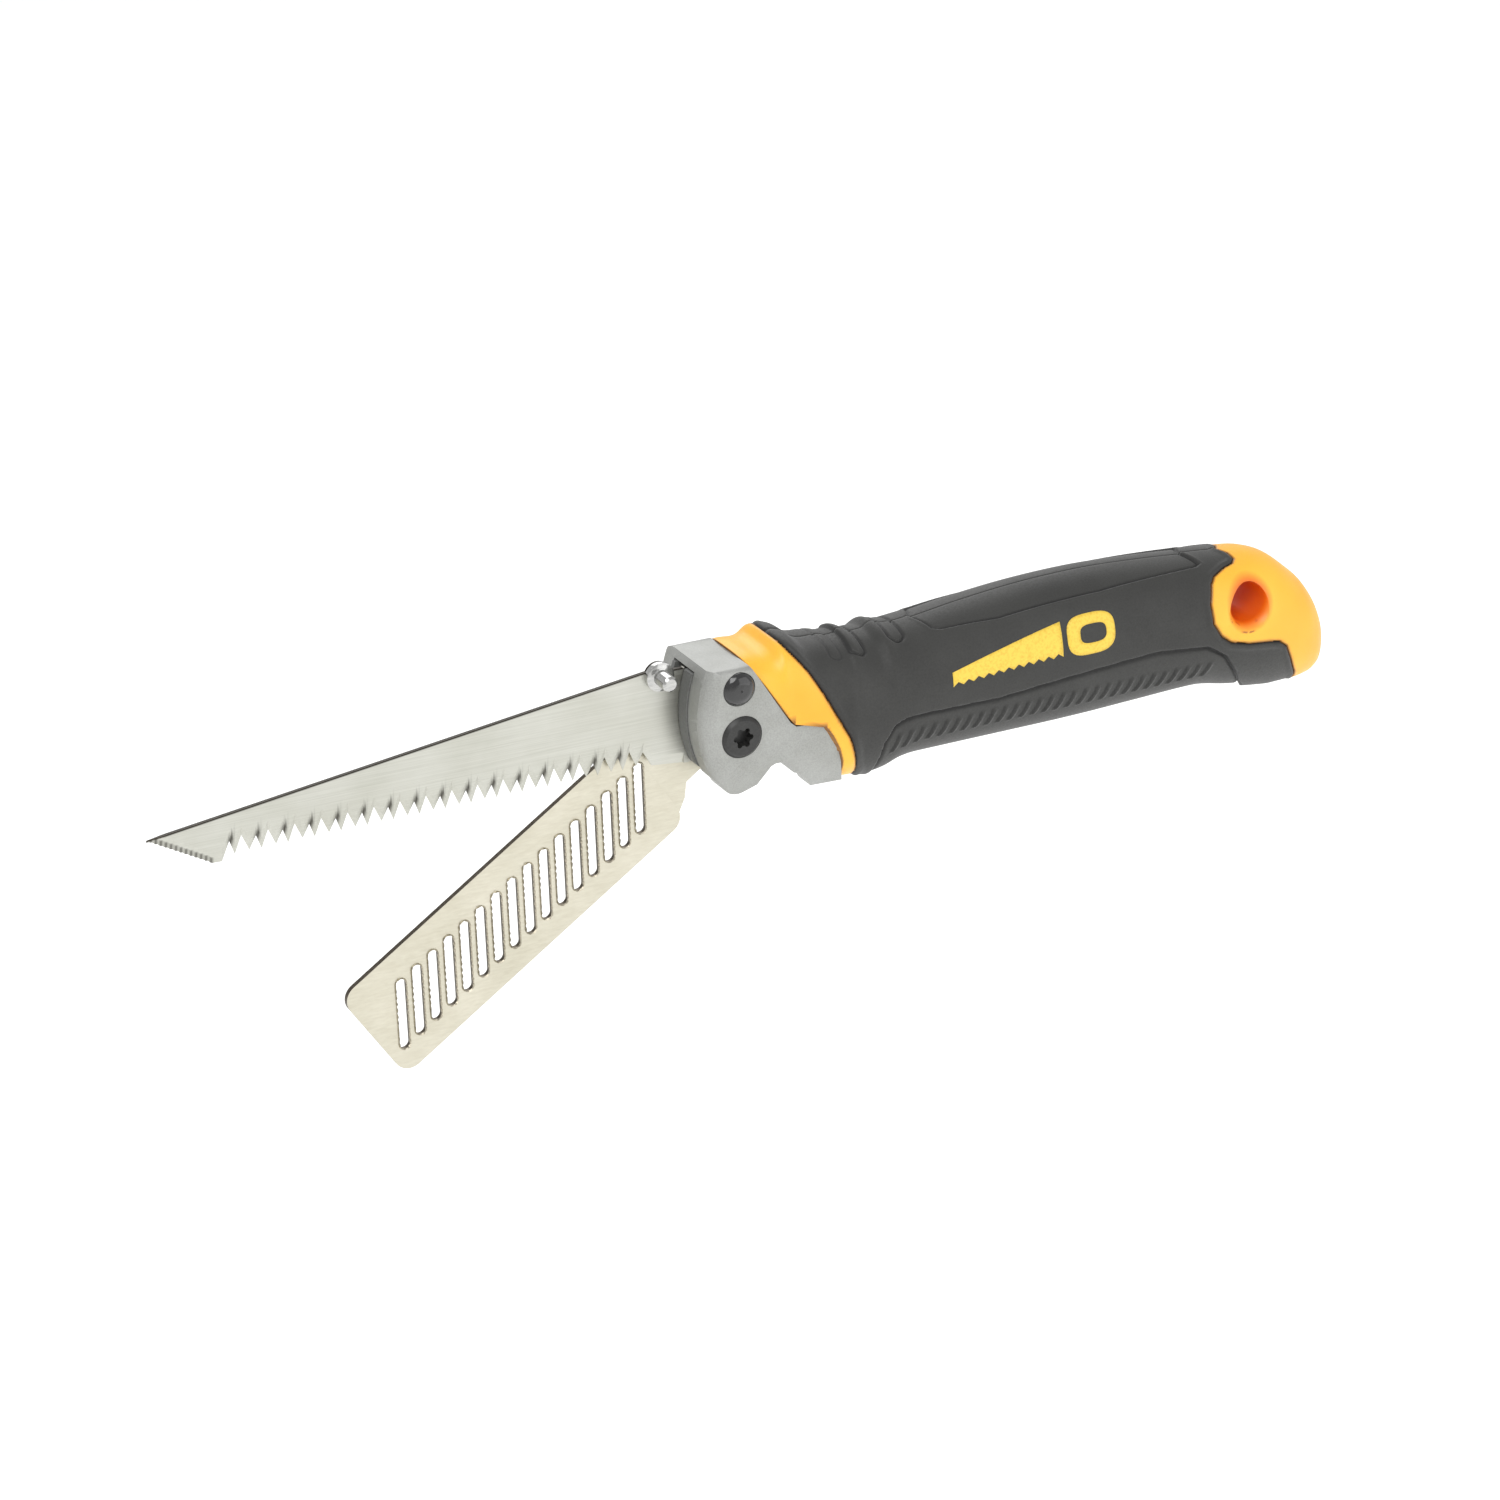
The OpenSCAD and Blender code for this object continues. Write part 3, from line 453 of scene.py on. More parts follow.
# angle from the crown at which y has come back to edge
def lastAngle(x, edge):
    half = smoothThrough(x, formStations[:, 0], formStations[:, 3])
    return math.pi - np.arcsin(np.clip(edge / half, 0, 0.98) ** (squareAt(x) / 2))


# millimetres down the section from the crown, from the share of the way to edge
def downAt(x, share, edge):
    return formSet["girth"] * share * lastAngle(x, edge) / lastAngle(x, formSet["lip"])


# handle surface: y = side half sin(a)^(2/n), z = middle + rise cos(a)^(2/n), with a from 0 at
# the crown to lastAngle at share 1, moved along the section's own normal by height
def formPoint(x, share, side, edge, height=0.0):
    low, high, half = (smoothThrough(x, formStations[:, 0], formStations[:, k]) for k in (1, 2, 3))
    middle, rise, n = (low + high) / 2, (high - low) / 2, squareAt(x)
    a = share * lastAngle(x, edge)
    y = half * np.abs(np.sin(a)) ** (2 / n)
    z = rise * np.sign(np.cos(a)) * np.abs(np.cos(a)) ** (2 / n)
    ny = (y / half) ** (n - 1) / half
    nz = np.sign(z) * np.abs(z / rise) ** (n - 1) / rise
    size = np.sqrt(ny * ny + nz * nz)
    return side * (y + height * ny / size), middle + z + height * nz / size


# distance to a line through points in two coordinates, positive where a ray along the first
# coordinate crosses the line an odd number of times, which is to its left or within it
def sideOf(line, px, pz):
    best = np.full(np.shape(px), 1e9)
    within = np.zeros(np.shape(px), bool)
    for (ax, az), (bx, bz) in zip(line[:-1], line[1:]):
        dx, dz = bx - ax, bz - az
        t = np.clip(((px - ax) * dx + (pz - az) * dz) / (dx * dx + dz * dz), 0, 1)
        best = np.minimum(best, np.hypot(px - ax - t * dx, pz - az - t * dz))
        if dz:
            within ^= ((az > pz) != (bz > pz)) & (px < ax + (pz - az) * dx / dz)
    return np.where(within, best, -best)


# smooth step from 0 to 1 as value goes from low to high
def ease(value, low, high):
    t = np.clip((value - low) / (high - low), 0, 1)
    return t * t * (3 - 2 * t)


# 1 at a distance, falling off on both sides: exp(-((distance - at) / width)^2)
def bell(distance, at, width):
    return np.exp(-((distance - at) / width) ** 2)


# tip: where the tail starts to close, over how much, and at which height; slack keeps the
# channel's walls from closing; channel: height of its ceiling along x
coreSet = {"columns": 128, "backColumns": 14, "edgeRound": 0.55, "castingGap": 0.15,
           "rows": ([-4.0, 35.0, 122.0, 160.0, 167.6], [0.33, 5.0, 0.34, 0.22]),
           "tipX": 167.0, "tipReach": 0.6, "tipZ": -11.7, "frontRound": 0.8, "underReach": 0.4,
           "lipReach": (0.2, 1.2), "seamShadeWidth": 0.45, "seamShadeReach": (0.1, 0.45), "slack": 0.02,
           "channel": [[-20, 12.6], [16.2, 12.6], [18.5, 13.2], [27, 13.3], [33, 12.6],
                       [54, 9.8], [111, 2.6], [129, 1.2], [142.5, -6.4], [142.6, -60]]}
# tongues: x, reach down the section, half width and depth. Panels: outline in x and w, drop,
# softness of the step, groove (where, width, depth) and the height of the rim outside it.
# Bead: where, width, height; tuck and lower roll: from, to, depth; hairline: width, depth
gripSet = {
    "columns": 150, "backColumns": 24, "rows": (10.0, 159.0, 0.33), "edgeRound": 0.7,
    "overFront": 0.5, "overBack": 0.6, "reliefReach": (0.3, 1.3), "shadeReach": (0.1, 0.7),
    "bead": (1.1, 0.7, 0.3), "tuck": (-0.05, 0.35, 1.1), "underside": 0.05,
    "lowerRoll": (50.0, 51.0, 1.0), "hairline": (0.3, 0.12), "tongueRise": 0.35,
    "tongueGroove": 0.4,
    "tongues": [(26.6, 12.0, 1.5, 0.25), (32.7, 11.6, 2.0, 0.6), (43.7, 9.4, 2.1, 0.6)],
    "topPanel": ([[50.6, -9], [50.6, 0], [53.3, 8.2], [55.2, 9.4], [70.3, 12.0], [98, 11.6],
                  [118, 9.2], [126.6, 8.0], [128.2, 6.8], [126, 0], [126, -9]],
                 0.45, 0.25, (0.35, 0.35, 0.35), 0.12),
    "ribPanel": ([[36.4, 62], [36.2, 42], [37.0, 34.4], [39.3, 31.0], [43, 30.0], [46, 30.2],
                  [67.8, 31.6], [95.3, 30.4], [112.1, 29.6], [126.4, 30.8], [132.1, 34],
                  [136, 39.5], [140.5, 48], [142.6, 62]], 0.75, 0.2, (0.5, 0.5, 0.6), 0.0)}
# ribs: first and last x, count, first and last w of their top, all in millimetres; they lean by
# lean and bow by bow, rise steeply over front, run out over back, and fade over top and bottom
ribSet = {"place": (40.9, 127.2, 28, 34.6, 36.6), "half": 2.4, "lean": 0.34, "bow": 0.04,
          "front": (-0.55, -0.15), "back": (-0.1, 1.2), "top": (-3.4, -2.2),
          "bottom": (1.6, 3.0), "foot": (-1.0, -0.6, -0.45, -0.2), "rise": 0.55,
          "margin": 1.2, "shade": 0.7}


# where each share of the section meets a line drawn in x and z: the first x from the front that
# is past the line
def meetLine(line, share, side, edge):
    x = np.linspace(-6, 160, 2200)
    grid = np.broadcast_to(x[:, None], (len(x), len(share)))
    z = formPoint(grid, share[None, :], side, edge)[1]
    past = np.interp(z, line[:, 1][::-1], line[:, 0][::-1]) < grid
    return x[np.argmax(past != past[:1], axis=0)]


# rows along the handle between the stops, each stretch with its own step
def spacedRows(stops, steps):
    parts = [np.arange(a, b, s) for (a, b), s in zip(zip(stops[:-1], stops[1:]), steps)]
    return np.concatenate(parts + [stops[-1:]])


# how far inside the rubber's borders a place is: the front one in the side view, the tail's
# on the skin
def insideRubber(x, z, down):
    return np.minimum(-sideOf(rubberEdge, x, z), sideOf(tailEdge, x, down))


# core skin: height 0 outside the rubber, rounded off to the border, and one rubber
# thickness below it inside; the edge towards the casting is rounded too
def coreHeight(x, z, down):
    inside = insideRubber(x, z, down)
    r = coreSet["edgeRound"]
    away = np.clip(r + inside, 0, r)
    height = np.sqrt(np.maximum(r * r - away * away, 0)) - r
    fromCasting = -sideOf(collarEdge, x, z)
    front = np.clip(r - fromCasting, 0, r) * coreSet["frontRound"]
    height = height + np.sqrt(np.maximum(r * r - front * front, 0)) - r
    under = formSet["rubber"] * ease(inside, 0.0, coreSet["underReach"])
    lip = ease(inside, *coreSet["lipReach"])
    # painted shade: dark along the rubber's border and along the edge towards the casting
    paintedShade = np.maximum(bell(inside, 0, coreSet["seamShadeWidth"]),
                        1 - ease(fromCasting, *coreSet["seamShadeReach"]))
    return np.where(inside > 0, -np.maximum(under, r * lip), height), paintedShade


# yellow core: the skin of both halves, closed at the tail's tip, round a channel that is open
# below; its ring of points runs over the skin and back along the channel's walls
def makeCore():
    rows = spacedRows(*coreSet["rows"])
    tipX, gap = coreSet["tipX"], coreSet["castingGap"]
    share = np.linspace(0, 1, coreSet["columns"])
    sheets, paintedShades = [], []
    for side, edge in ((-1, formSet["slotNear"]), (1, formSet["slotFar"])):
        start = meetLine(collarEdge, share, side, edge) + gap
        x = np.maximum(rows[:, None], start[None, :])
        s = np.broadcast_to(share[None, :], x.shape)
        flatX = np.minimum(x, tipX)
        z = formPoint(flatX, s, side, edge)[1]
        height, paintedShade = coreHeight(x, z, downAt(flatX, s, edge))
        paintedShades.append(paintedShade)
        y, z = formPoint(flatX, s, side, edge, height)
        close = np.sqrt(np.clip(1 - ((x - tipX) / coreSet["tipReach"]) ** 2, 0, 1))
        close = np.where(x > tipX, close, 1.0)
        y, z = y * close, coreSet["tipZ"] + (z - coreSet["tipZ"]) * close
        sheets.append(np.stack([x, y, z], -1))
    near, far = sheets
    outer = np.concatenate([near[:, ::-1], far[:, 1:]], 1)
    # channel walls: up the far side, across the top and down the near side
    first, last = outer[:, -1], outer[:, 0]
    n = coreSet["backColumns"]
    ladder = np.concatenate([np.linspace(0, 1, n)[1:], np.ones(n - 2), np.linspace(1, 0, n)[:-1]])
    across = np.concatenate([np.zeros(n - 1), np.linspace(0, 1, n)[1:-1], np.ones(n - 1)])
    low = first[:, 2:3] * (1 - across) + last[:, 2:3] * across
    wallY = first[:, 1:2] * (1 - across) + last[:, 1:2] * across
    wallX = first[:, :1] + 0 * ladder
    # the walls' x hangs on their height at the sloping collar and the other way round, so the
    # two are found by turns
    for _ in range(3):
        top = np.interp(wallX, *np.array(coreSet["channel"]).T)
        ceiling = np.maximum(top, low + coreSet["slack"] * (wallX < rows[-1]))
        wallZ = low + (ceiling - low) * ladder
        collarX = np.interp(wallZ[0], collarEdge[:, 1][::-1], collarEdge[:, 0][::-1]) + gap
        wallX = np.maximum(rows[:, None], collarX)
    ring = np.concatenate([outer, np.stack([wallX, wallY, wallZ], -1)], 1)
    count = ring.shape[1]
    faces = gridFaces(len(rows), count, closed=True)
    faces += capFaces(outer.shape[1], count, 0)
    piece = makePiece("handleCore", ring.reshape(-1, 3), faces, nylon, "handle",
                      ("handle_core_left", "handle_core_right"))
    paintedShade = np.concatenate([paintedShades[0][:, ::-1], paintedShades[1][:, 1:],
                             np.zeros((len(rows), count - outer.shape[1]))], 1)
    setPaintedShade(piece, paintedShade)
    faceOutwards(piece)
    return piece


# stores how dark the painted shade in a groove is, point by point, for the finish to read
def setPaintedShade(piece, values):
    layer = piece.data.attributes.new("paintedShade", "FLOAT", "POINT")
    layer.data.foreach_set("value", np.clip(values, 0, 1).ravel().astype(np.float32))


# closes a ring of outer and wall points with a zip of triangles between the two runs
def capFaces(outerCount, count, first):
    a = np.arange(outerCount - 1)
    wall = np.arange(outerCount, count)[::-1]
    partner = wall[np.clip(np.round(a * (len(wall) - 1) / (outerCount - 1)).astype(int), 0, None)]
    nextPartner = np.append(partner[1:], wall[-1])
    faces = np.stack([a + first, a + 1 + first, partner + first], -1).tolist()
    change = partner != nextPartner
    faces += np.stack([a[change] + 1 + first, nextPartner[change] + first,
                       partner[change] + first], -1).tolist()
    return faces


# ribbed panel, thumb tongues and top panel, as heights over the form and as the shade in
# their grooves; w runs down the section in millimetres from the crown
def gripRelief(x, w):
    height, paintedShade = np.zeros(np.shape(x)), np.zeros(np.shape(x))
    for centre, reach, half, depth in gripSet["tongues"]:
        # distance to a round-ended bar across the crown, negative inside
        away = np.hypot(x - centre, np.maximum(w - (reach - half), 0)) - half
        height += gripSet["tongueRise"] * depth * np.clip(-away / half, 0, 1) ** 0.5
        groove = bell(away, 0, gripSet["tongueGroove"])
        height -= depth * groove
        paintedShade = np.maximum(paintedShade, groove * depth * 1.5)
    for outline, drop, soft, (at, width, depth), rim in (gripSet["topPanel"],
                                                         gripSet["ribPanel"]):
        panel = sideOf(np.array(outline), x, w)
        groove = bell(panel, at, width)
        height += rim * bell(panel, -0.6, 0.4) - drop * ease(panel, -soft, soft) - depth * groove
        paintedShade = np.maximum(paintedShade, groove)
    # the ribs stand in the last panel
    firstX, lastX, count, firstW, lastW = ribSet["place"]
    pitch = (lastX - firstX) / (count - 1)
    middle = firstW + (lastW - firstW) * (x - firstX) / (lastX - firstX) + ribSet["half"]
    leaned = x - firstX + ribSet["lean"] * (w - middle) + ribSet["bow"] * (w - middle) ** 2
    beat = leaned / pitch + 0.5
    number = np.floor(beat)
    inCell = (beat - number - 0.5) * pitch
    # each rib drops at once towards the head and runs out slowly towards the tail
    wave = ease(inCell, *ribSet["front"]) * (1 - ease(inCell, *ribSet["back"]))
    span = ease(w - middle, *ribSet["top"]) * (1 - ease(w - middle, *ribSet["bottom"]))
    live = (number >= 0) & (number < count) & (panel > ribSet["margin"])
    foot = ease(inCell, *ribSet["foot"][:2]) * (1 - ease(inCell, *ribSet["foot"][2:]))
    height += ribSet["rise"] * wave * span * live
    return height, np.maximum(paintedShade, ribSet["shade"] * foot * span * live)


# rubber skin of one side: reliefs inside, a rounded edge with a bead behind it, tucked under
# at its borders, and an underside one rubber thickness down
def makeGrip(side):
    rows = np.arange(*gripSet["rows"])
    share = np.linspace(0, 1, gripSet["columns"])
    edge = formSet["lip"]
    start = meetLine(rubberEdge, share, side, edge) - gripSet["overFront"]
    down = share * formSet["girth"]
    stop = np.interp(down, tailEdge[:, 1], tailEdge[:, 0])
    stop = np.array([stop[max(0, i - 2):i + 3].max() for i in range(len(stop))])
    x = np.clip(rows[:, None], start[None, :], stop[None, :] + gripSet["overBack"])
    s = np.broadcast_to(share[None, :], x.shape)
    z = formPoint(x, s, side, edge)[1]
    w = s * formSet["girth"]
    inside = insideRubber(x, z, w)
    r = gripSet["edgeRound"]
    away = np.clip(r - inside, 0, r)
    relief, paintedShade = gripRelief(x, w)
    height = relief * ease(inside, *gripSet["reliefReach"])
    paintedShade = np.maximum(paintedShade, 1 - ease(inside, *gripSet["shadeReach"]))
    height += np.sqrt(np.maximum(r * r - away * away, 0)) - r
    at, width, rise = gripSet["bead"]
    height += rise * bell(inside, at, width)
    low, high, depth = gripSet["tuck"]
    height -= depth * ease(-inside, low, high)
    # the lower border rolls in to the core's lip, and a hairline parts the two grips
    low, high, depth = gripSet["lowerRoll"]
    width, hair = gripSet["hairline"]
    height -= depth * ease(w, low, high) ** 2 + hair * bell(w, 0, width)
    skin = np.stack([x, *formPoint(x, s, side, edge, height)], -1)
    back = np.linspace(1, 0, gripSet["backColumns"])
    pick = np.round(back * (len(share) - 1)).astype(int)
    deep = -formSet["rubber"] - gripSet["underside"]
    under = np.stack([x[:, pick], *formPoint(x[:, pick], s[:, pick], side, edge, deep)], -1)
    ring = np.concatenate([skin, under], 1)
    count = ring.shape[1]
    faces = gridFaces(len(rows), count, closed=True)
    faces += capFaces(len(share), count, 0) + capFaces(len(share), count, (len(rows) - 1) * count)
    name, node = ("gripNear", "grip_left") if side < 0 else ("gripFar", "grip_right")
    piece = makePiece(name, ring.reshape(-1, 3), faces, rubber, "handle", (node,))
    setPaintedShade(piece, np.concatenate([paintedShade, np.zeros(under.shape[:2])], 1))
    faceOutwards(piece)
    return piece


# bore radius, mouth radius, y where the mouth starts, and how far the cutter reaches out
holeSet = {"radius": 5.0, "mouth": 3.5, "wall": 10.9, "turns": 96, "bends": 14, "out": 16}


# hanging hole: a straight bore with a quarter-round mouth each side, radius against y
def cutHangingHole(piece):
    radius, mouth, wall, turns, out = (holeSet[k] for k in ("radius", "mouth", "wall", "turns",
                                                            "out"))
    bend = np.linspace(0, math.pi / 2, holeSet["bends"])
    flareR = radius + mouth - mouth * np.cos(bend)
    flareY = wall + mouth * np.sin(bend)
    r = np.concatenate([[0, radius + mouth], flareR[::-1], flareR, [radius + mouth, 0]])
    y = np.concatenate([[-out, -out], -flareY[::-1], flareY, [out, out]])
    around = np.linspace(0, 2 * math.pi, turns, endpoint=False)[None, :]
    points = np.stack([r[:, None] * np.cos(around), y[:, None] + 0 * around,
                       r[:, None] * np.sin(around)], -1)
    cutter = bpy.data.meshes.new("hangCutter")
    cutter.from_pydata((points.reshape(-1, 3) * mm).tolist(), [], gridFaces(len(r), turns, 0, True))
    tool = addObject("hangCutter", cutter)
    faceOutwards(tool)
    cut = piece.modifiers.new("hangingHole", "BOOLEAN")
    cut.operation, cut.solver, cut.object = "DIFFERENCE", "EXACT", tool
    settled = bpy.context.evaluated_depsgraph_get()
    done = bpy.data.meshes.new_from_object(piece.evaluated_get(settled))
    piece.modifiers.clear()
    old = piece.data
    piece.data = done
    bpy.data.meshes.remove(old)
    bpy.data.objects.remove(tool)
    bpy.data.meshes.remove(cutter)


core = makeCore()
cutHangingHole(core)
gripNear, gripFar = makeGrip(-1), makeGrip(1)
print("scene: handle built,", [len(o.data.polygons) for o in (core, gripNear, gripFar)], "faces")


# printed mark: a plain hand saw, drawn along the handle in millimetres and laid on the skin;
# x and down place its corner, the ring and its hole have a centre and two half widths
printSet = {"x": 55.0, "down": 17.5, "lift": 0.03, "film": 0.06, "teeth": 11, "length": 30.0,
            "point": 5.0, "edge": 8.6, "tooth": 0.9, "rows": 7, "ring": (38.0, 4.4, 6.6, 5.0),
            "hole": (38.6, 4.6, 3.6, 2.3), "square": 3.2, "ringPoints": 48, "ringRows": 4}


# blade strip between its back and its toothed edge, then the ring of the handle
def makeMark():
    corners = np.arange(2 * printSet["teeth"] + 1)
    along = corners / corners[-1]
    toothEdge = printSet["edge"] - printSet["tooth"] * (corners % 2)
    back = printSet["point"] * (1 - along)
    rows, ringRows, count = printSet["rows"], printSet["ringRows"], printSet["ringPoints"]
    blade = np.stack([np.broadcast_to(along * printSet["length"], (rows, len(along))),
                      back + (toothEdge - back) * np.linspace(0, 1, rows)[:, None]], -1)
    turn = np.linspace(0, 2 * math.pi, count, endpoint=False)
    n = printSet["square"]
    bulge = 1 / (np.abs(np.cos(turn)) ** n + np.abs(np.sin(turn)) ** n) ** (1 / n)
    outline, hole = (np.stack([cx + rx * bulge * np.cos(turn), cz + rz * bulge * np.sin(turn)], -1)
                     for cx, cz, rx, rz in (printSet["ring"], printSet["hole"]))
    grip = outline + (hole - outline) * np.linspace(0, 1, ringRows)[:, None, None]
    flat = np.concatenate([blade.reshape(-1, 2), grip.reshape(-1, 2)])
    faces = gridFaces(rows, len(along))
    faces += gridFaces(ringRows, count, rows * len(along), True)
    x = printSet["x"] + flat[:, 0]
    share = (printSet["down"] + flat[:, 1]) / formSet["girth"]
    y, z = formPoint(x, share, -1, formSet["lip"], printSet["lift"])
    piece = makePiece("handleMark", np.stack([x, y, z], -1), faces, printInk, "handle")
    shell = piece.modifiers.new("inkFilm", "SOLIDIFY")
    shell.thickness, shell.offset = printSet["film"] * mm, 0.0
    return piece


makeMark()


# blade: a plate in the plane of the joints, in millimetres from the pivot; the tang inside the
# head stays as the model has it. The nose, its end and the tooth pairs run from the point, the
# heel, the back and the lug (x, z and radius) from the pivot
bladeSet = {"cut": -9.0, "half": 0.6, "pitch": 6.4, "point": 19.3, "pairs": 16, "set": 0.28,
            "grind": 2.6, "edgeHalf": 0.16, "spine": 0.12, "serration": 1.15, "ripple": 0.22,
            "nose": (0.8, 15.0), "noseTop": 1.0, "noseSlope": 8.1 / 14.2, "step": 0.3,
            "noseEnd": [[15, -9.1], [17.4, -9.2]],
            "pair": [[0, -4.6], [1.1, -7.9], [2.9, -3.8], [4.8, -7.9]],
            "heel": [[-19.3, -4.6], [-17.1, -8.4], [-8.3, -9.3]],
            "back": [[-20, 15.1], [-16, 15.6], [-13, 15.6], [-12, 14.6], [-8.6, 14.6]],
            "lug": (-15.4, 14.0, 3.2), "grindRows": 9, "plateRows": 12, "tall": 30.0,
            "underSpine": 0.45, "leanFrom": 4.0, "leanOver": 3.9}
# painted shade marks: the place in the narrow gullet of the shade that the set teeth cast, its
# lean with height and its width, its fade at the top and the bottom, and the length and height
# of the painted shade on the ground nose
bladeShadeSet = {"at": 0.25, "lean": 0.25, "width": 0.5, "before": 0.9, "top": (2.2, 3.6),
             "bottom": (6.2, 7.4), "noseLength": 15.5, "noseRise": (1.2, 1.6)}


# lower outline: fine serrations on the plunging edge, then two teeth to a pair with a narrow
# and a wide gullet between them
def toothLine():
    first, last = bladeSet["nose"]
    nose = np.arange(first, last, bladeSet["serration"] / 2)
    lift = bladeSet["ripple"] * (np.arange(len(nose)) % 2)
    drop = bladeSet["noseTop"] + (nose - first) * bladeSet["noseSlope"]
    line = [[[0, -0.55]], np.stack([nose, lift - drop], -1), bladeSet["noseEnd"]]
    for i in range(bladeSet["pairs"]):
        line.append(np.array(bladeSet["pair"]) + [bladeSet["point"] + i * bladeSet["pitch"], 0])
    return np.concatenate([np.concatenate(line) - [bladeReach, 0], bladeSet["heel"]])


# plate between the tooth line and the spine: half thickness grows from edgeHalf at the ground
# edge to half over grind, and tooth tips lean to alternate sides by set
def makeBlade():
    line = toothLine()
    back = np.array([[-bladeReach, -0.45]] + bladeSet["back"])
    lugX, lugZ, lugR = bladeSet["lug"]
    lug = np.linspace(lugX - 3.0, lugX + 3.0, 25)
    x = np.unique(np.round(np.concatenate([np.arange(-bladeReach, bladeSet["cut"],
                                                     bladeSet["step"]),
                                           line[:, 0], lug, [bladeSet["cut"]]]), 4))
    x = x[x <= bladeSet["cut"]]
    low = np.interp(x, *line.T)
    high = np.interp(x, *back.T)
    bulge = lugR ** 2 - (x - lugX) ** 2
    high = np.where(bulge > 0, np.maximum(high, lugZ + np.sqrt(np.maximum(bulge, 0))), high)
    reach = np.concatenate([
        np.linspace(0, bladeSet["grind"], bladeSet["grindRows"]),
        np.linspace(bladeSet["grind"], bladeSet["tall"], bladeSet["plateRows"])[1:]])
    depth = (high - low)[:, None]
    rise = np.minimum(reach[None, :], depth - bladeSet["spine"])
    rise = np.concatenate([np.minimum(rise, depth - bladeSet["underSpine"]),
                           depth - bladeSet["spine"], depth], 1)
    z = low[:, None] + rise
    share = np.clip(rise / bladeSet["grind"], 0, 1)
    half = bladeSet["edgeHalf"] + (bladeSet["half"] - bladeSet["edgeHalf"]) * share
    half = half - bladeSet["spine"] * (rise >= depth - 1e-6)
    middle, last = bladeSet["pair"][2][0], bladeSet["heel"][0][0]
    firstTooth = bladeSet["point"] - bladeReach
    lean = np.where(((x - firstTooth) % bladeSet["pitch"]) < middle, -1.0, 1.0)
    lean = lean * (x > firstTooth) * (x < last)
    tip = np.clip((-bladeSet["leanFrom"] - z) / bladeSet["leanOver"], 0, 1)
    shift = bladeSet["set"] * lean[:, None] * tip
    wide = np.broadcast_to(x[:, None], z.shape)
    near = np.stack([wide, shift - half, z], -1)
    far = np.stack([wide, shift + half, z], -1)
    ring = np.concatenate([near, far[:, ::-1]], 1)
    count = ring.shape[1]
    faces = gridFaces(len(x), count, closed=True)
    faces += [list(range(count)), list(range((len(x) - 1) * count, len(x) * count))]
    piece = makePiece("bladePlate", ring.reshape(-1, 3), faces, bladeSteel, "blade",
                      ("saw_blade",), smooth=False)
    # painted shade: along the spine, in the narrow gullet of each pair where the set teeth shade
    # it, and on the ground nose
    before = bladeShadeSet["before"]
    beat = (wide - firstTooth + before) % bladeSet["pitch"] - before
    toothed = (wide > firstTooth - 0.5) & (wide < -20)
    leant = beat - bladeShadeSet["lean"] * (z - bladeSet["pair"][0][1])
    mark = toothed * bell(leant, bladeShadeSet["at"], bladeShadeSet["width"])
    mark = mark * ease(-z, *bladeShadeSet["top"]) * (1 - ease(-z, *bladeShadeSet["bottom"]))
    nose = (wide < bladeShadeSet["noseLength"] - bladeReach) * (1 - ease(rise, *bladeShadeSet["noseRise"]))
    nose = nose * (0.5 + 0.3 * np.sin(wide * 2 * math.pi / bladeSet["serration"]))
    spineShade = 1.0 * (rise > depth - bladeSet["spine"] * 1.5)
    paintedShade = np.maximum(np.maximum(mark, nose), spineShade)
    setPaintedShade(piece, np.concatenate([paintedShade, paintedShade[:, ::-1]], 1))
    faceOutwards(piece)
    return piece


# the model's own tang, cut from a copy of the blade where the plate takes over
def makeTang():
    mesh = bpy.data.meshes.new("bladeTang")
    shell = bmesh.new()
    shell.from_mesh(nodes["saw_blade"].data)
    bmesh.ops.remove_doubles(shell, verts=shell.verts, dist=1e-6)
    cut = bmesh.ops.bisect_plane(shell, geom=shell.verts[:] + shell.edges[:] + shell.faces[:],
                                 plane_co=Vector(toRow((bladeSet["cut"], 0, 0))),
                                 plane_no=(-1, 0, 0), clear_outer=True)
    rim = [e for e in cut["geom_cut"] if isinstance(e, bmesh.types.BMEdge)]
    bmesh.ops.holes_fill(shell, edges=rim)
    bmesh.ops.recalc_face_normals(shell, faces=shell.faces)
    shell.to_mesh(mesh)
    shell.free()
    mesh.materials.clear()
    mesh.materials.append(bladeSteel)
    tang = addObject("bladeTang", mesh)
    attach(tang, "blade")
    return tang


blade, tang = makeBlade(), makeTang()
print("scene: blade built,", len(blade.data.polygons), "faces")


# rasp plate: the model's own sheets with their sheared walls finished dark, and a ragged burr
# round every slot on the cutting side; slots as the model has them, in millimetres
raspSet = {"angle": 34.0, "reach": 108.0, "slots": 16, "endGap": 8.6, "pitch": 4.92, "low": 3.05,
           "lean": 58.0, "width": 2.9, "length": 18.4, "face": 1.5, "points": 72,
           "burrIn": 0.34, "burrUp": 0.42, "waves": (4.1, 7.7)}


# a copy of a model sheet whose walls, square to the broad faces, take the sheared finish
def finishWalls(nodeName, name, body):
    mesh = nodes[nodeName].data.copy()
    mesh.name = name
    mesh.materials.append(cutSteel)
    across = np.empty(len(mesh.polygons) * 3)
    mesh.polygons.foreach_get("normal", across)
    walls = np.abs(across.reshape(-1, 3)[:, 1]) < 0.5
    mesh.polygons.foreach_set("material_index", walls.astype(np.int32))
    mesh.update()
    sheet = addObject(name, mesh)
    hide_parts(nodeName)
    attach(sheet, body)
    return sheet


